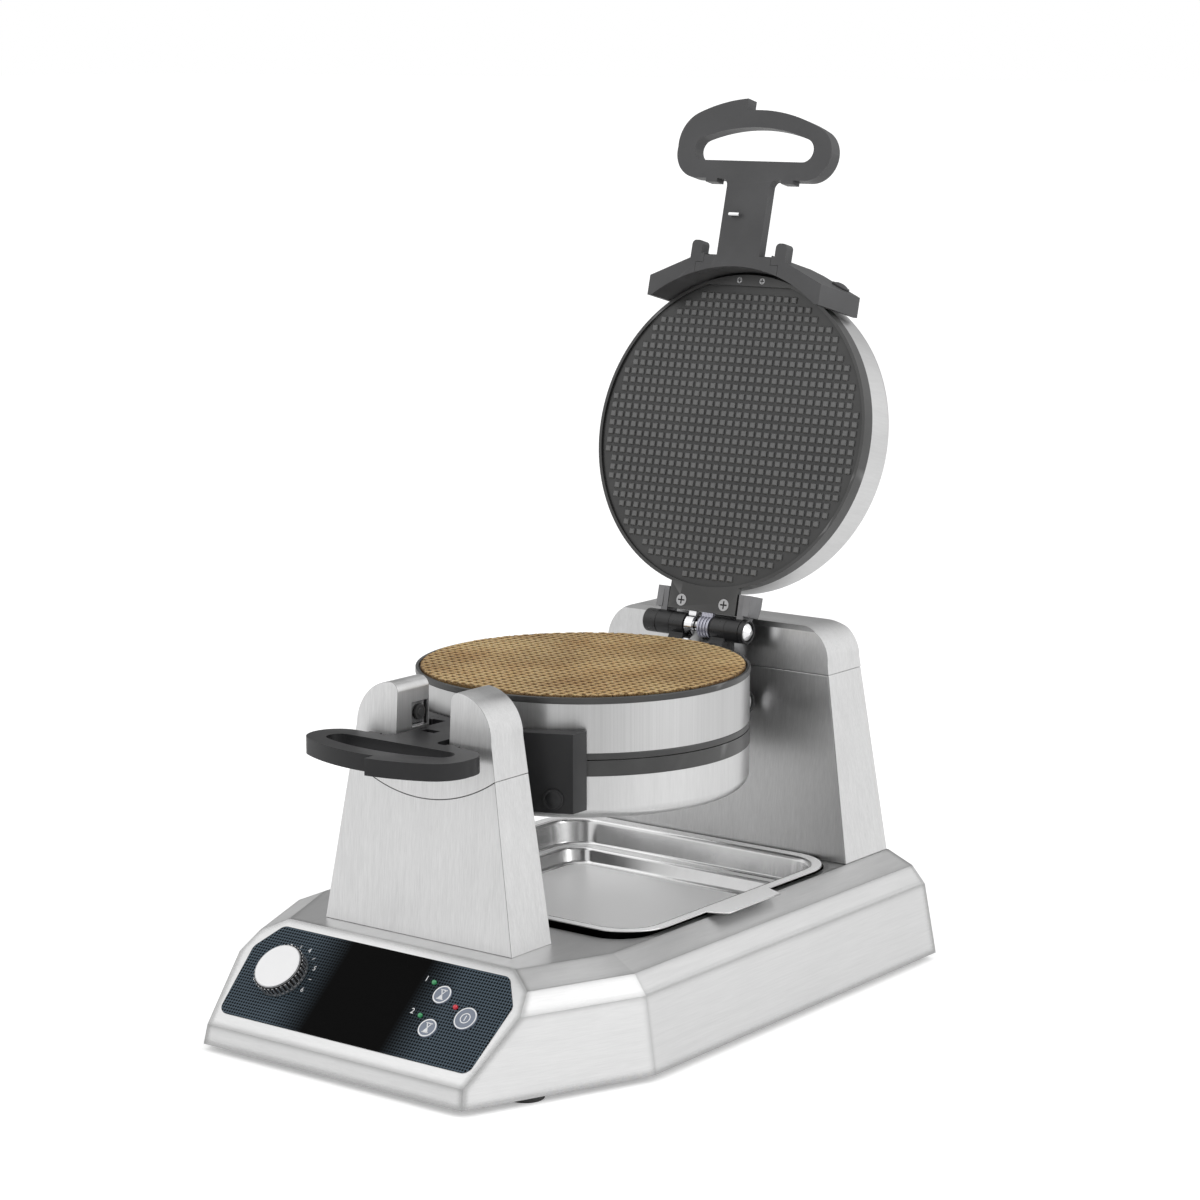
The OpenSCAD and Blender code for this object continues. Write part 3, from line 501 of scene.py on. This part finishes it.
def baked():
    """Baked batter: pale webs, darker pockets, darker blotches and crumb texture."""
    material, tree, shader = new_material("waffle_baked")
    spot = coords(tree)
    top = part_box("waffle")[1].z
    sunk = fit(tree, part(tree, spot, "Z"), top - 0.1 * MM, top - 0.9 * MM)
    blotch = noise(tree, spot, 26.0, 4.0, 0.6)
    crumb = noise(tree, spot, 900.0, 3.0, 0.7)
    web = blend(tree, fit(tree, blotch, 0.38, 0.66), (0.62, 0.45, 0.22), (0.47, 0.29, 0.115))
    pocket = blend(tree, fit(tree, blotch, 0.35, 0.65), (0.20, 0.120, 0.042), (0.12, 0.060, 0.018))
    body = blend(tree, sunk, web, pocket)
    fleck = blend(tree, fit(tree, crumb, 0.58, 0.78), body, (0.72, 0.58, 0.36))
    plug(tree, shader, "Base Color", fleck)
    plug(tree, shader, "Roughness", fit(tree, crumb, 0.3, 0.7, 0.45, 0.65))
    plug(tree, shader, "Subsurface Weight", 0.15)
    plug(tree, shader, "Subsurface Radius", (0.0012, 0.0007, 0.0003))
    bump(tree, shader, crumb, 0.5, 0.12 * MM)
    return material


def ceramic(name, colour):
    return moulded(name, colour, rough=0.6, grain=700.0, depth=0.3, edge=0.05)


def conduit():
    """Ribbed metal tube for the lid's wires, with a painted highlight on the rib crests and painted shade in
    the grooves.
    """
    material, tree, shader = new_material("conduit_ribs")
    spot = coords(tree)
    rib = maths(tree, "SINE", maths(tree, "MULTIPLY", part(tree, spot, "X"), 5200.0))
    # painted highlight on the crests and painted shade in the grooves
    rib_light_and_shade = blend(tree, fit(tree, rib, -1, 1), (0.30, 0.30, 0.36), (0.62, 0.62, 0.70))
    plug(tree, shader, "Base Color", rib_light_and_shade)
    plug(tree, shader, "Metallic", 0.6)
    plug(tree, shader, "Roughness", fit(tree, noise(tree, spot, 300.0), 0.3, 0.7, 0.25, 0.4))
    bump(tree, shader, rib, 0.3, 0.2 * MM)
    return material


# ---------- mesh helpers ----------

def make_object(name, verts, faces, material, body, smooth=True):
    """New mesh object that moves with body."""
    mesh = bpy.data.meshes.new(name)
    mesh.from_pydata(verts, [], faces)
    mesh.validate()
    mesh.polygons.foreach_set("use_smooth", [smooth] * len(mesh.polygons))
    mesh.update()
    obj = bpy.data.objects.new(name, mesh)
    bpy.context.scene.collection.objects.link(obj)
    mesh.materials.append(material)
    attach(obj, body)
    return obj


def moved(verts, matrix):
    return [tuple(matrix @ Vector(v)) for v in verts]


def round_edges(obj, width, segments=3, angle=18.0):
    """Welds the imported solid, merges its flat faces and rounds its edges."""
    weld = obj.modifiers.new("weld", "WELD")
    weld.merge_threshold = 0.00001
    flat = obj.modifiers.new("flat", "DECIMATE")
    flat.decimate_type = "DISSOLVE"
    flat.angle_limit = math.radians(0.4)
    bevel = obj.modifiers.new("round", "BEVEL")
    bevel.width = width
    bevel.segments = segments
    bevel.limit_method = "ANGLE"
    bevel.angle_limit = math.radians(angle)
    bevel.use_clamp_overlap = True
    bevel.miter_outer = "MITER_ARC"
    normals = obj.modifiers.new("normals", "WEIGHTED_NORMAL")
    normals.keep_sharp = True
    normals.weight = 90


def dress(node, material, width=0.0, segments=3, angle=18.0):
    """Gives a CAD piece its material and, where width is set, rounded edges."""
    obj = NODES[node]
    obj.data.materials.clear()
    obj.data.materials.append(material)
    obj.data.polygons.foreach_set("use_smooth", [True] * len(obj.data.polygons))
    if width:
        round_edges(obj, width, segments, angle)


# ---------- baking pattern ----------

def ring_faces(rings, count):
    """Quads between successive closed rings of count points each."""
    faces = []
    for ring in range(rings - 1):
        low, high = ring * count, (ring + 1) * count
        for i in range(count):
            j = (i + 1) % count
            faces.append((low + i, low + j, high + j, high + i))
    return faces


def lattice(offset, front=None):
    """Centres of the pattern's cells that lie wholly inside the recess."""
    limit = RECESS_R - 1.9 * MM
    half = int(RECESS_R / PITCH) + 1
    spots = []
    for i in range(-half, half + 1):
        for j in range(-half, half + 1):
            x, y = i * PITCH + offset, j * PITCH + offset
            inside = math.hypot(abs(x) + STUD_FOOT, abs(y) + STUD_FOOT) < limit
            if inside and (front is None or y > front + 1.2 * STUD_FOOT):
                spots.append((x, y))
    return spots


def studs(name, base_z, tall, offset, place, body, material, front=None):
    """Field of small square studs with chamfered tops; tall is negative where they point down."""
    levels = ((STUD_FOOT, -0.1), (STUD_NECK, 0.62), (STUD_CROWN, 1.0))
    verts, faces = [], []
    corners = ((-1, -1), (1, -1), (1, 1), (-1, 1))
    for x, y in lattice(offset, front):
        start = len(verts)
        for half, share in levels:
            z = base_z + tall * share
            verts += [(x + half * i, y + half * j, z) for i, j in corners]
        for ring in (0, 4):
            for k in range(4):
                a, b = start + ring + k, start + ring + (k + 1) % 4
                faces.append((a, b, b + 4, a + 4) if tall > 0 else (a, a + 4, b + 4, b))
        top = [start + 8 + k for k in range(4)]
        faces.append(tuple(top) if tall > 0 else tuple(reversed(top)))
    return make_object(name, moved(verts, place), faces, material, body, smooth=False)


def pocket_depth(value, offset):
    """0 on a web, 1 on a pocket's floor, for one axis of the pattern."""
    away = abs((value - offset + PITCH / 2) % PITCH - PITCH / 2)
    return min(1.0, max(0.0, (POCKET_HALF + POCKET_WALL - away) / POCKET_WALL))


def pattern_lines(radius):
    """Grid lines that follow the edges of the pockets on both sides of the waffle."""
    edges = (POCKET_HALF, POCKET_HALF + POCKET_WALL)
    starts = ((0, 1), (PITCH, -1), (PITCH / 2, -1), (PITCH / 2, 1))
    steps = sorted(start + sign * e for e in edges for start, sign in starts)
    lines = []
    half = int(radius / PITCH) + 1
    for i in range(-half, half):
        lines += [i * PITCH + s for s in steps]
    return [v for v in lines if abs(v) < radius + 1 * MM]


def waffle():
    """Thin baked sheet with pockets on both faces, in the space its CAD solid holds."""
    lo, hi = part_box("waffle")
    radius = hi.x - 0.3 * MM
    front = lo.y + 0.2 * MM
    lines = pattern_lines(radius)
    n = len(lines)
    verts, faces = [], []
    index = {}
    for side in (0, 1):
        for i, x in enumerate(lines):
            for j, y in enumerate(lines):
                index[side, i, j] = len(verts)
                verts.append(waffle_point(x, y, side, radius, front, lo.z, hi.z))
    inside = [[math.hypot(x, y) < radius + 0.2 * MM and y > front - 1.2 * MM for y in lines]
              for x in lines]
    keep = set()
    for i in range(n - 1):
        for j in range(n - 1):
            if all(inside[a][b] for a in (i, i + 1) for b in (j, j + 1)):
                keep.add((i, j))
    for i, j in sorted(keep):
        quad = [(i, j), (i + 1, j), (i + 1, j + 1), (i, j + 1)]
        faces.append([index[1, a, b] for a, b in quad])
        faces.append([index[0, a, b] for a, b in reversed(quad)])
        for k, (di, dj) in enumerate(((0, -1), (1, 0), (0, 1), (-1, 0))):
            if (i + di, j + dj) not in keep:
                a, b = quad[k], quad[(k + 1) % 4]
                faces.append([index[(side, *spot)] for side, spot in ((0, a), (0, b), (1, b), (1, a))])
    obj = make_object("waffle_sheet", verts, faces, baked(), "waffle")
    drop_loose(obj)
    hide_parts("waffle")


def waffle_point(x, y, side, radius, front, floor_z, top_z):
    """A grid point on the upper face (side 1) or lower face (side 0), kept inside the sheet's outline."""
    reach = math.hypot(x, y)
    edge = min(1.0, max(0.0, (radius - reach) / (0.8 * MM)))
    if reach > radius:
        x, y = x * radius / reach, y * radius / reach
    y = max(y, front)
    offset = 0.0 if side else PITCH / 2
    sink = pocket_depth(x, offset) * pocket_depth(y, offset) * edge
    sag = 0.12 * MM * math.sin(x * 61) * math.cos(y * 47)
    if side:
        return x, y, top_z - 0.2 * MM + sag - sink * 1.15 * MM - (1 - edge) * 0.5 * MM
    return x, y, floor_z + 0.05 * MM + sink * 1.3 * MM + (1 - edge) * 0.3 * MM


def drop_loose(obj):
    """Removes the grid points that no face uses."""
    used = set()
    for polygon in obj.data.polygons:
        used.update(polygon.vertices)
    order = {old: new for new, old in enumerate(sorted(used))}
    verts = [tuple(obj.data.vertices[old].co) for old in sorted(used)]
    faces = [[order[v] for v in polygon.vertices] for polygon in obj.data.polygons]
    obj.data.clear_geometry()
    obj.data.from_pydata(verts, [], faces)
    obj.data.polygons.foreach_set("use_smooth", [False] * len(faces))
    obj.data.update()


# ---------- drip tray ----------

def tray_ring(half, radius, z, tab=0.0):
    """Closed loop of points round a rounded square; tab pushes the middle of both sides outwards."""
    lo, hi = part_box("drip_tray")
    mid_y = (lo.y + hi.y) / 2
    tab_lo, tab_hi, ease = -22 * MM, 46 * MM, 6 * MM
    straight = half - radius
    side = sorted({tab_lo, tab_lo + ease, mid_y, tab_hi - ease, tab_hi, mid_y - straight, mid_y + straight})
    points = []
    for quarter in range(4):
        turn = quarter * math.pi / 2
        cx = straight * (1 if quarter in (0, 3) else -1)
        cy = straight * (1 if quarter in (0, 1) else -1)
        arc = [turn + k * math.pi / 2 / 12 for k in range(13)]
        points += [(cx + radius * math.cos(a), mid_y + cy + radius * math.sin(a), z) for a in arc]
        if quarter in (0, 2):
            end_y = points[-1][1]
            points += [(cx * (1 - s / 3), end_y, z) for s in range(1, 6)]
        else:
            x = -half if quarter == 1 else half
            ys = side[1:-1]
            for y in (reversed(ys) if quarter == 1 else ys):
                out = tab if tab_lo + ease / 2 < y < tab_hi - ease / 2 else 0.0
                points.append((x + math.copysign(out, x), y, z))
    return points


def drip_tray(material):
    """Pressed tray: flat rim with side tabs, bead, drawn walls, a ledge and a sunk floor, all filleted."""
    lo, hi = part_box("drip_tray")
    half = (hi.y - lo.y) / 2
    tab = hi.x - half
    # (distance in from the edge, height above the floor or below the top, corner radius), millimetres
    rim = ((0.0, -0.8, 32), (0.0, -0.1, 32), (0.5, 0.0, 31.5))
    bead = ((5.6, 0.0, 27), (6.4, -0.3, 26), (7.6, -0.3, 25), (8.6, -1.2, 24), (9.2, -3.0, 23.5))
    ledge = ((11.0, 14.0, 22.5), (11.6, 12.6, 22), (12.8, 12.0, 21), (17.6, 11.8, 17), (18.6, 11.2, 16))
    sump = ((19.2, 9.8, 15.5), (20.6, 3.4, 15), (21.6, 1.7, 14.5), (23.4, 1.0, 13.5), (27.0, 0.9, 12))
    rings = []
    for steps, level, out in ((rim, hi.z, tab), (bead, hi.z, 0), (ledge, lo.z, 0), (sump, lo.z, 0)):
        rings += [tray_ring(half - inset * MM, r * MM, level + z * MM, out) for inset, z, r in steps]
    count = len(rings[0])
    verts = [p for ring in rings for p in ring]
    faces = ring_faces(len(rings), count)
    faces.append(tuple((len(rings) - 1) * count + i for i in range(count)))
    obj = make_object("tray_pressing", verts, faces, material, "tray")
    sheet = obj.modifiers.new("sheet", "SOLIDIFY")
    sheet.thickness = 0.8 * MM
    sheet.offset = -1
    normals = obj.modifiers.new("normals", "WEIGHTED_NORMAL")
    normals.weight = 60
    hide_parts("drip_tray")


# ---------- panel print ----------

def digit(text, x, y, size, material):
    """A printed figure at panel coordinates x, y."""
    curve = bpy.data.curves.new("digit_" + text, "FONT")
    curve.body = text
    curve.size = size
    curve.align_x = "CENTER"
    curve.align_y = "CENTER"
    curve.extrude = 0.03 * MM
    curve.materials.append(material)
    obj = bpy.data.objects.new("digit_" + text, curve)
    bpy.context.scene.collection.objects.link(obj)
    obj.matrix_world = PANEL @ Matrix.Translation((x, y, 0.02 * MM))
    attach(obj, "stand")
    return obj


def flat_shape(name, outlines, matrix, body, material, thick=0.06 * MM):
    """Thin raised print: each outline is a closed list of points in the plane of matrix."""
    verts, faces = [], []
    for outline in outlines:
        start, n = len(verts), len(outline)
        verts += [(x, y, 0.0) for x, y in outline] + [(x, y, thick) for x, y in outline]
        faces.append([start + n + i for i in range(n)])
        faces.append([start + i for i in reversed(range(n))])
        for i in range(n):
            j = (i + 1) % n
            faces.append((start + i, start + j, start + n + j, start + n + i))
    make_object(name, moved(verts, matrix), faces, material, body, smooth=False)


def bar(x0, y0, x1, y1, width):
    """Outline of a straight stroke."""
    run = Vector((x1 - x0, y1 - y0)).normalized() * width / 2
    nx, ny = -run.y, run.x
    return [(x0 - run.x + nx, y0 - run.y + ny), (x0 - run.x - nx, y0 - run.y - ny),
            (x1 + run.x - nx, y1 + run.y - ny), (x1 + run.x + nx, y1 + run.y + ny)]


def circle_strokes(radius, width, pieces=40):
    """A circle as short four-sided strokes that meet end to end."""
    inner, outer = radius - width / 2, radius + width / 2
    strokes = []
    for k in range(pieces):
        a, b = 2 * math.pi * k / pieces, 2 * math.pi * (k + 1) / pieces
        ends = ((inner, a), (outer, a), (outer, b), (inner, b))
        strokes.append([(r * math.cos(t), r * math.sin(t)) for r, t in ends])
    return strokes


def button_top(node):
    """Frame on a button's outer face."""
    out = PANEL.to_3x3() @ Vector((0, 0, 1))
    high = max(out.dot(v.co) for v in NODES[node].data.vertices)
    spot = on_panel(node)
    flat = PANEL @ Matrix.Translation((*spot, 0))
    lift = high - out.dot(flat.translation)
    return flat @ Matrix.Translation((0, 0, lift))


def button_radius(node):
    lo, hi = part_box(node)
    return (hi.x - lo.x) / 2 - 1 * MM       # less the hidden flange


def button_icons(material):
    """Hourglass rings on the timer buttons, a power sign on the power button."""
    for node in ("timer_button_1", "timer_button_2"):
        radius = button_radius(node)
        w, h = 0.27 * radius, 0.50 * radius
        line = 0.09 * radius
        strokes = circle_strokes(radius * 0.90, 0.13 * radius)
        strokes += [bar(-w * 1.25, h, w * 1.25, h, line), bar(-w * 1.25, -h, w * 1.25, -h, line)]
        strokes += [bar(-w, h, w, -h, line), bar(w, h, -w, -h, line)]
        strokes.append([(-w * 0.75, -h), (w * 0.75, -h), (0, -h * 0.25)])
        flat_shape("icon_" + node, strokes, button_top(node), node, material)
    radius = button_radius("power_button")
    strokes = circle_strokes(radius * 0.92, 0.10 * radius)
    strokes += circle_strokes(radius * 0.42, 0.08 * radius)
    strokes.append(bar(0, -0.2 * radius, 0, 0.2 * radius, 0.08 * radius))
    top = button_top("power_button")
    flat_shape("icon_power_button", strokes, top, "power_button", material)


def panel_print(material):
    """Dial figures 1 to 6 with ticks between them, clockwise round the knob, and the timer figures."""
    reach, step, first = 20.6 * MM, 44.0, 200.0           # radius, degrees apart, where the 1 stands
    for k in range(6):
        a = math.radians(first - step * k)
        digit(str(k + 1), reach * math.cos(a), reach * math.sin(a), 4.4 * MM, material)
    near, far = reach - 1.2 * MM, reach + 0.7 * MM
    ticks = []
    for k in range(5):
        a = math.radians(first - step * (k + 0.5))
        x, y = math.cos(a), math.sin(a)
        ticks.append(bar(near * x, near * y, far * x, far * y, 0.35 * MM))
    film = PANEL @ Matrix.Translation((0, 0, 0.01 * MM))
    flat_shape("dial_ticks", ticks, film, "stand", material)
    for text, left, up in (("1", 17, 8.2), ("2", 17, 8.6)):
        x, y = on_panel("timer_button_" + text)
        label = digit(text, x - left * MM, y + up * MM, 5.2 * MM, material)
        label.name = "digit_timer_" + text


# ---------- small trim ----------

def dome_cap(name, place, body, material):
    """Domed cover over a fixing screw, with a raised ring round it; place has Z out of the cover."""
    ring = [(6.3, 0.0), (6.3, 0.7), (6.1, 1.0), (5.5, 1.05), (5.2, 0.85)]       # radius, height, mm
    dome = [(4.9, 1.0), (4.3, 1.5), (3.2, 2.0), (1.8, 2.3), (0.6, 2.4)]
    profile = ring + dome
    turns = 40
    verts = []
    for r, z in profile:
        for k in range(turns):
            a = 2 * math.pi * k / turns
            verts.append((r * MM * math.cos(a), r * MM * math.sin(a), z * MM))
    faces = ring_faces(len(profile), turns)
    faces.append([(len(profile) - 1) * turns + k for k in range(turns)])
    faces.append(list(reversed(range(turns))))
    make_object(name, moved(verts, place), faces, material, body)


# ---------- stage ----------

def floor():
    """Pale floor, lifted a little for the camera so that it fades into the surround."""
    mesh = bpy.data.meshes.new("floor")
    far = 40.0
    corners = [(x * far, y * far, 0) for x, y in ((-1, -1), (1, -1), (1, 1), (-1, 1))]
    mesh.from_pydata(corners, [], [(0, 1, 2, 3)])
    obj = bpy.data.objects.new("floor", mesh)
    bpy.context.scene.collection.objects.link(obj)
    material, tree, shader = new_material("floor_pale")
    plug(tree, shader, "Base Color", (0.93, 0.93, 0.93, 1))
    plug(tree, shader, "Roughness", 0.9)
    plug(tree, shader, "Specular IOR Level", 0.0)
    plug(tree, shader, "Emission Color", (1, 1, 1, 1))
    lift = maths(tree, "MULTIPLY", add(tree, "LightPath").outputs["Is Camera Ray"], 0.3)
    plug(tree, shader, "Emission Strength", lift)
    mesh.materials.append(material)


def softbox(name, spot, target, size, power):
    """Rectangular area light aimed at target."""
    light = bpy.data.lights.new(name, "AREA")
    light.shape = "RECTANGLE"
    light.size, light.size_y = size
    light.energy = power
    obj = bpy.data.objects.new(name, light)
    bpy.context.scene.collection.objects.link(obj)
    obj.location = spot
    obj.rotation_euler = (Vector(target) - Vector(spot)).to_track_quat("-Z", "Y").to_euler()


def toward(tree, direction, reach_lo, reach_hi, view):
    """1 where the view direction points along direction, fading to 0."""
    aim = add(tree, "VectorMath", {0: view, 1: Vector(direction).normalized()}, operation="DOT_PRODUCT")
    return fit(tree, aim.outputs["Value"], reach_lo, reach_hi)


def studio():
    """White surround with two soft grey fields, so that bright metal has something to show.

    One field lies behind the object and one behind the viewer. The camera itself sees white.
    """
    world = bpy.data.worlds.new("studio")
    bpy.context.scene.world = world
    world.use_nodes = True
    tree = world.node_tree
    shader = tree.nodes["Background"]
    view = add(tree, "TexCoord").outputs["Generated"]
    behind = toward(tree, (-0.62, 0.76, 0.22), 0.55, 0.98, view)
    viewer = toward(tree, (0.60, -0.79, 0.10), 0.80, 0.99, view)
    fields = [maths(tree, "MULTIPLY", field, depth) for field, depth in ((behind, 0.68), (viewer, 0.72))]
    level = maths(tree, "SUBTRACT", 1.0, maths(tree, "ADD", *fields))
    shown = maths(tree, "MAXIMUM", level, add(tree, "LightPath").outputs["Is Camera Ray"])
    plug(tree, shader, "Color", add(tree, "CombineColor", {0: shown, 1: shown, 2: shown}).outputs[0])
    plug(tree, shader, "Strength", 1.0)
    softbox("key", (-1.1, -1.3, 2.0), (0, 0, 0.2), (1.6, 1.6), 4)
    softbox("fill", (1.9, 0.3, 1.2), (0, 0, 0.2), (1.4, 1.4), 9)


def camera():
    """Seen from the front right, a little above the top plate."""
    data = bpy.data.cameras.new("camera")
    data.sensor_width = 36.0
    data.lens = 94.11
    obj = bpy.data.objects.new("camera", data)
    bpy.context.scene.collection.objects.link(obj)
    obj.location = (1.17475, -1.53009, 0.59303)
    azimuth, elevation = math.radians(-37.2), math.radians(-10.1)
    level = math.cos(elevation)
    aim = Vector((math.sin(azimuth) * level, math.cos(azimuth) * level, math.sin(elevation)))
    obj.rotation_euler = aim.to_track_quat("-Z", "Y").to_euler()
    bpy.context.scene.camera = obj


# ---------- build ----------

def dress_stand():
    """Base, towers, feet, lead and controls."""
    bright = bright_steel()
    dress("base_housing", base_steel(), 1.8 * MM, 4, 10.0)
    # rear tower: the same sheet with painted shade on its front face
    shaded = upright_steel("steel_upright_rear", 0.84)
    for tower, sheet in (("front_tower", upright_steel()), ("rear_tower", shaded)):
        dress(tower, sheet, 3.0 * MM, 5)
        dress(tower + "_cap", sheet, 3.0 * MM, 5)
    dress("base_pan", pan_steel(), 0.5 * MM)
    enamel = moulded("well_enamel", (0.012, 0.012, 0.012), rough=0.4, grain=400.0, shine=0.3)
    dress("drip_well", enamel, 0.5 * MM)
    rubber = moulded("rubber_black", (0.03, 0.03, 0.03), rough=0.7, grain=500.0)
    for node in ("rubber_feet", "stem_rollers"):
        dress(node, rubber, 0.6 * MM)
    for node in ("foot_screws", "tower_screws", "roller_brackets", "thermostat_shaft", "trunnion"):
        dress(node, bright, 0.25 * MM)
    cord = moulded("cord_black", (0.035, 0.035, 0.036), rough=0.55, grain=600.0)
    for node in ("cord_gland", "power_cord", "cord_plug"):
        dress(node, cord, 0.6 * MM)
    dress("control_fascia", fascia_print(), 0.15 * MM, 2)
    dress("thermostat_knob", knob_finish(), 0.2 * MM, 2, 30.0)
    blue = moulded("button_slate", (0.16, 0.19, 0.25), rough=0.35, grain=1400.0, depth=0.08, coat=0.3)
    for node in ("power_button", "timer_button_1", "timer_button_2"):
        dress(node, blue, 0.45 * MM)
    dress("leds_green", lens("lens_green", (0.05, 0.34, 0.13), 0.1))
    dress("led_red", lens("lens_red", (0.60, 0.02, 0.04), 0.2))


def dress_inside():
    """Pieces inside the base, the rear tower and the iron."""
    board = moulded("board_green", (0.02, 0.12, 0.05), rough=0.3, grain=300.0, coat=0.4)
    dress("control_board", board, 0.2 * MM)
    brass = cast_metal("brass_turned", (0.75, 0.55, 0.22), rough=0.28, metallic=1.0)
    for node in ("board_standoffs", "bearing_bush"):
        dress(node, brass, 0.2 * MM)
    dress("thermostat_body", ceramic("ceramic_tan", (0.62, 0.55, 0.42)), 0.5 * MM)
    dress("core_insulation", ceramic("insulation_wool", (0.78, 0.74, 0.64)), 1.0 * MM)
    dress("timer_relay", moulded("relay_blue", (0.03, 0.09, 0.33), rough=0.3, coat=0.3), 0.6 * MM)
    dress("terminal_block", moulded("block_ivory", (0.76, 0.71, 0.58), rough=0.45), 0.6 * MM)
    dress("bearing_pedestal", cast_metal("cast_grey_stand", (0.33, 0.33, 0.34)), 0.8 * MM)
    element = heat_tint()
    for node in ("core_upper_element", "core_lower_element", "low_lid_element", "top_lid_element"):
        dress(node, element)


def dress_iron():
    """Core, both lids, hinges and handles; returns the materials that the added pieces share."""
    dress("core_band", band_steel(), 0.3 * MM)
    dress("low_lid_shell", lid_steel("steel_low_lid", None), 0.4 * MM)
    dress("top_lid_shell", lid_steel("steel_top_lid", OPEN_LID), 0.4 * MM)
    coating = nonstick()
    for node in ("core_upper_plate", "core_lower_plate", "low_lid_plate", "top_lid_plate"):
        dress(node, coating, 0.6 * MM)
    pin_z = JOINTS["lid_hinge"]["pos_m"][2]
    dress("top_lid_hinge", hinge_casting("cast_hinge_top", pin_z), 0.8 * MM)
    dress("low_lid_hinge", hinge_casting("cast_hinge_low", 2 * AXIS_Z - pin_z), 0.8 * MM)
    black = cast_metal("yoke_black", (0.016, 0.016, 0.017), rough=0.3, metallic=0.2)
    for node in ("hinge_yoke", "pin_nuts"):
        dress(node, black, 0.8 * MM)
    chrome = bright_steel("chrome_pins", 0.9, 0.12)
    for node in ("hinge_pins", "top_latch_hook", "lid_strap"):
        dress(node, chrome, 0.2 * MM)
    dress("top_hinge_screws", slotted_screw("zinc_screws_top", OPEN_LID), 0.1 * MM)
    dress("low_hinge_screws", slotted_screw("zinc_screws_low", LOW_LID), 0.1 * MM)
    dress("lid_conduit", conduit(), 0.25 * MM)
    skin = {"grain": 1100.0, "depth": 0.18, "edge": 0.05}
    # lit and shaded copies of one charcoal plastic: the lower handle, cover and caps painted darker as
    # shade, the top ones painted lighter as light
    low = moulded("handle_charcoal", (0.018, 0.018, 0.019), rough=0.38, shine=0.25, **skin)
    top = moulded("handle_plastic_lit", (0.066, 0.066, 0.068), rough=0.42, shine=0.3, **skin)
    for lid, plastic in (("low", low), ("top", top)):
        dress(lid + "_handle", plastic, 2.2 * MM, 4)
        dress(lid + "_handle_base", plastic, 1.4 * MM, 3)
    return coating, low, top


def add_pattern(coating):
    """Studs on the four plates; the core's stand half a cell off the lids', as the pockets do."""
    front = -(LID_PLATE_FLAT - 0.5 * MM)
    ceiling = LID_FACE + RECESS
    floor_z = CORE_TOP - RECESS
    here, half = Matrix.Identity(4), PITCH / 2
    studs("studs_core_upper", floor_z, STUD_TALL, half, here, "iron", coating)
    studs("studs_core_lower", 2 * AXIS_Z - floor_z, -STUD_TALL, half, here, "iron", coating)
    studs("studs_low_lid", ceiling, -STUD_TALL, 0.0, LOW_LID, "iron", coating, front)
    studs("studs_top_lid", ceiling, -STUD_TALL, 0.0, OPEN_LID, "top_lid", coating, front)


def add_caps(low, top):
    """Domes over the discs on the wings of the covers, placed on a shut lid and moved with it."""
    spot = Vector((57.0, -103.2, 40.0)) * MM              # right-hand disc, from the core's middle
    lean = math.radians(23.3)                             # the wings' sweep
    proud = 0.4 * MM
    lids = (("low", LOW_LID, "iron", low), ("top", OPEN_LID, "top_lid", top))
    for name, place, body, plastic in lids:
        for hand, side in (("left", -1), ("right", 1)):
            at = Vector((side * spot.x, spot.y, AXIS_Z + spot.z))
            out = Vector((side * math.sin(lean), -math.cos(lean), 0))
            turn = out.to_track_quat("Z", "Y").to_matrix().to_4x4()
            seat = Matrix.Translation(at + out * proud) @ turn
            dome_cap(f"cap_{name}_{hand}", place @ seat, body, plastic)


dress_stand()
dress_inside()
coating, low_plastic, top_plastic = dress_iron()
add_pattern(coating)
waffle()
drip_tray(polished_steel())
white = print_white()
panel_print(white)
button_icons(white)
add_caps(low_plastic, top_plastic)
floor()
studio()
camera()
bpy.context.scene.view_settings.view_transform = "Standard"
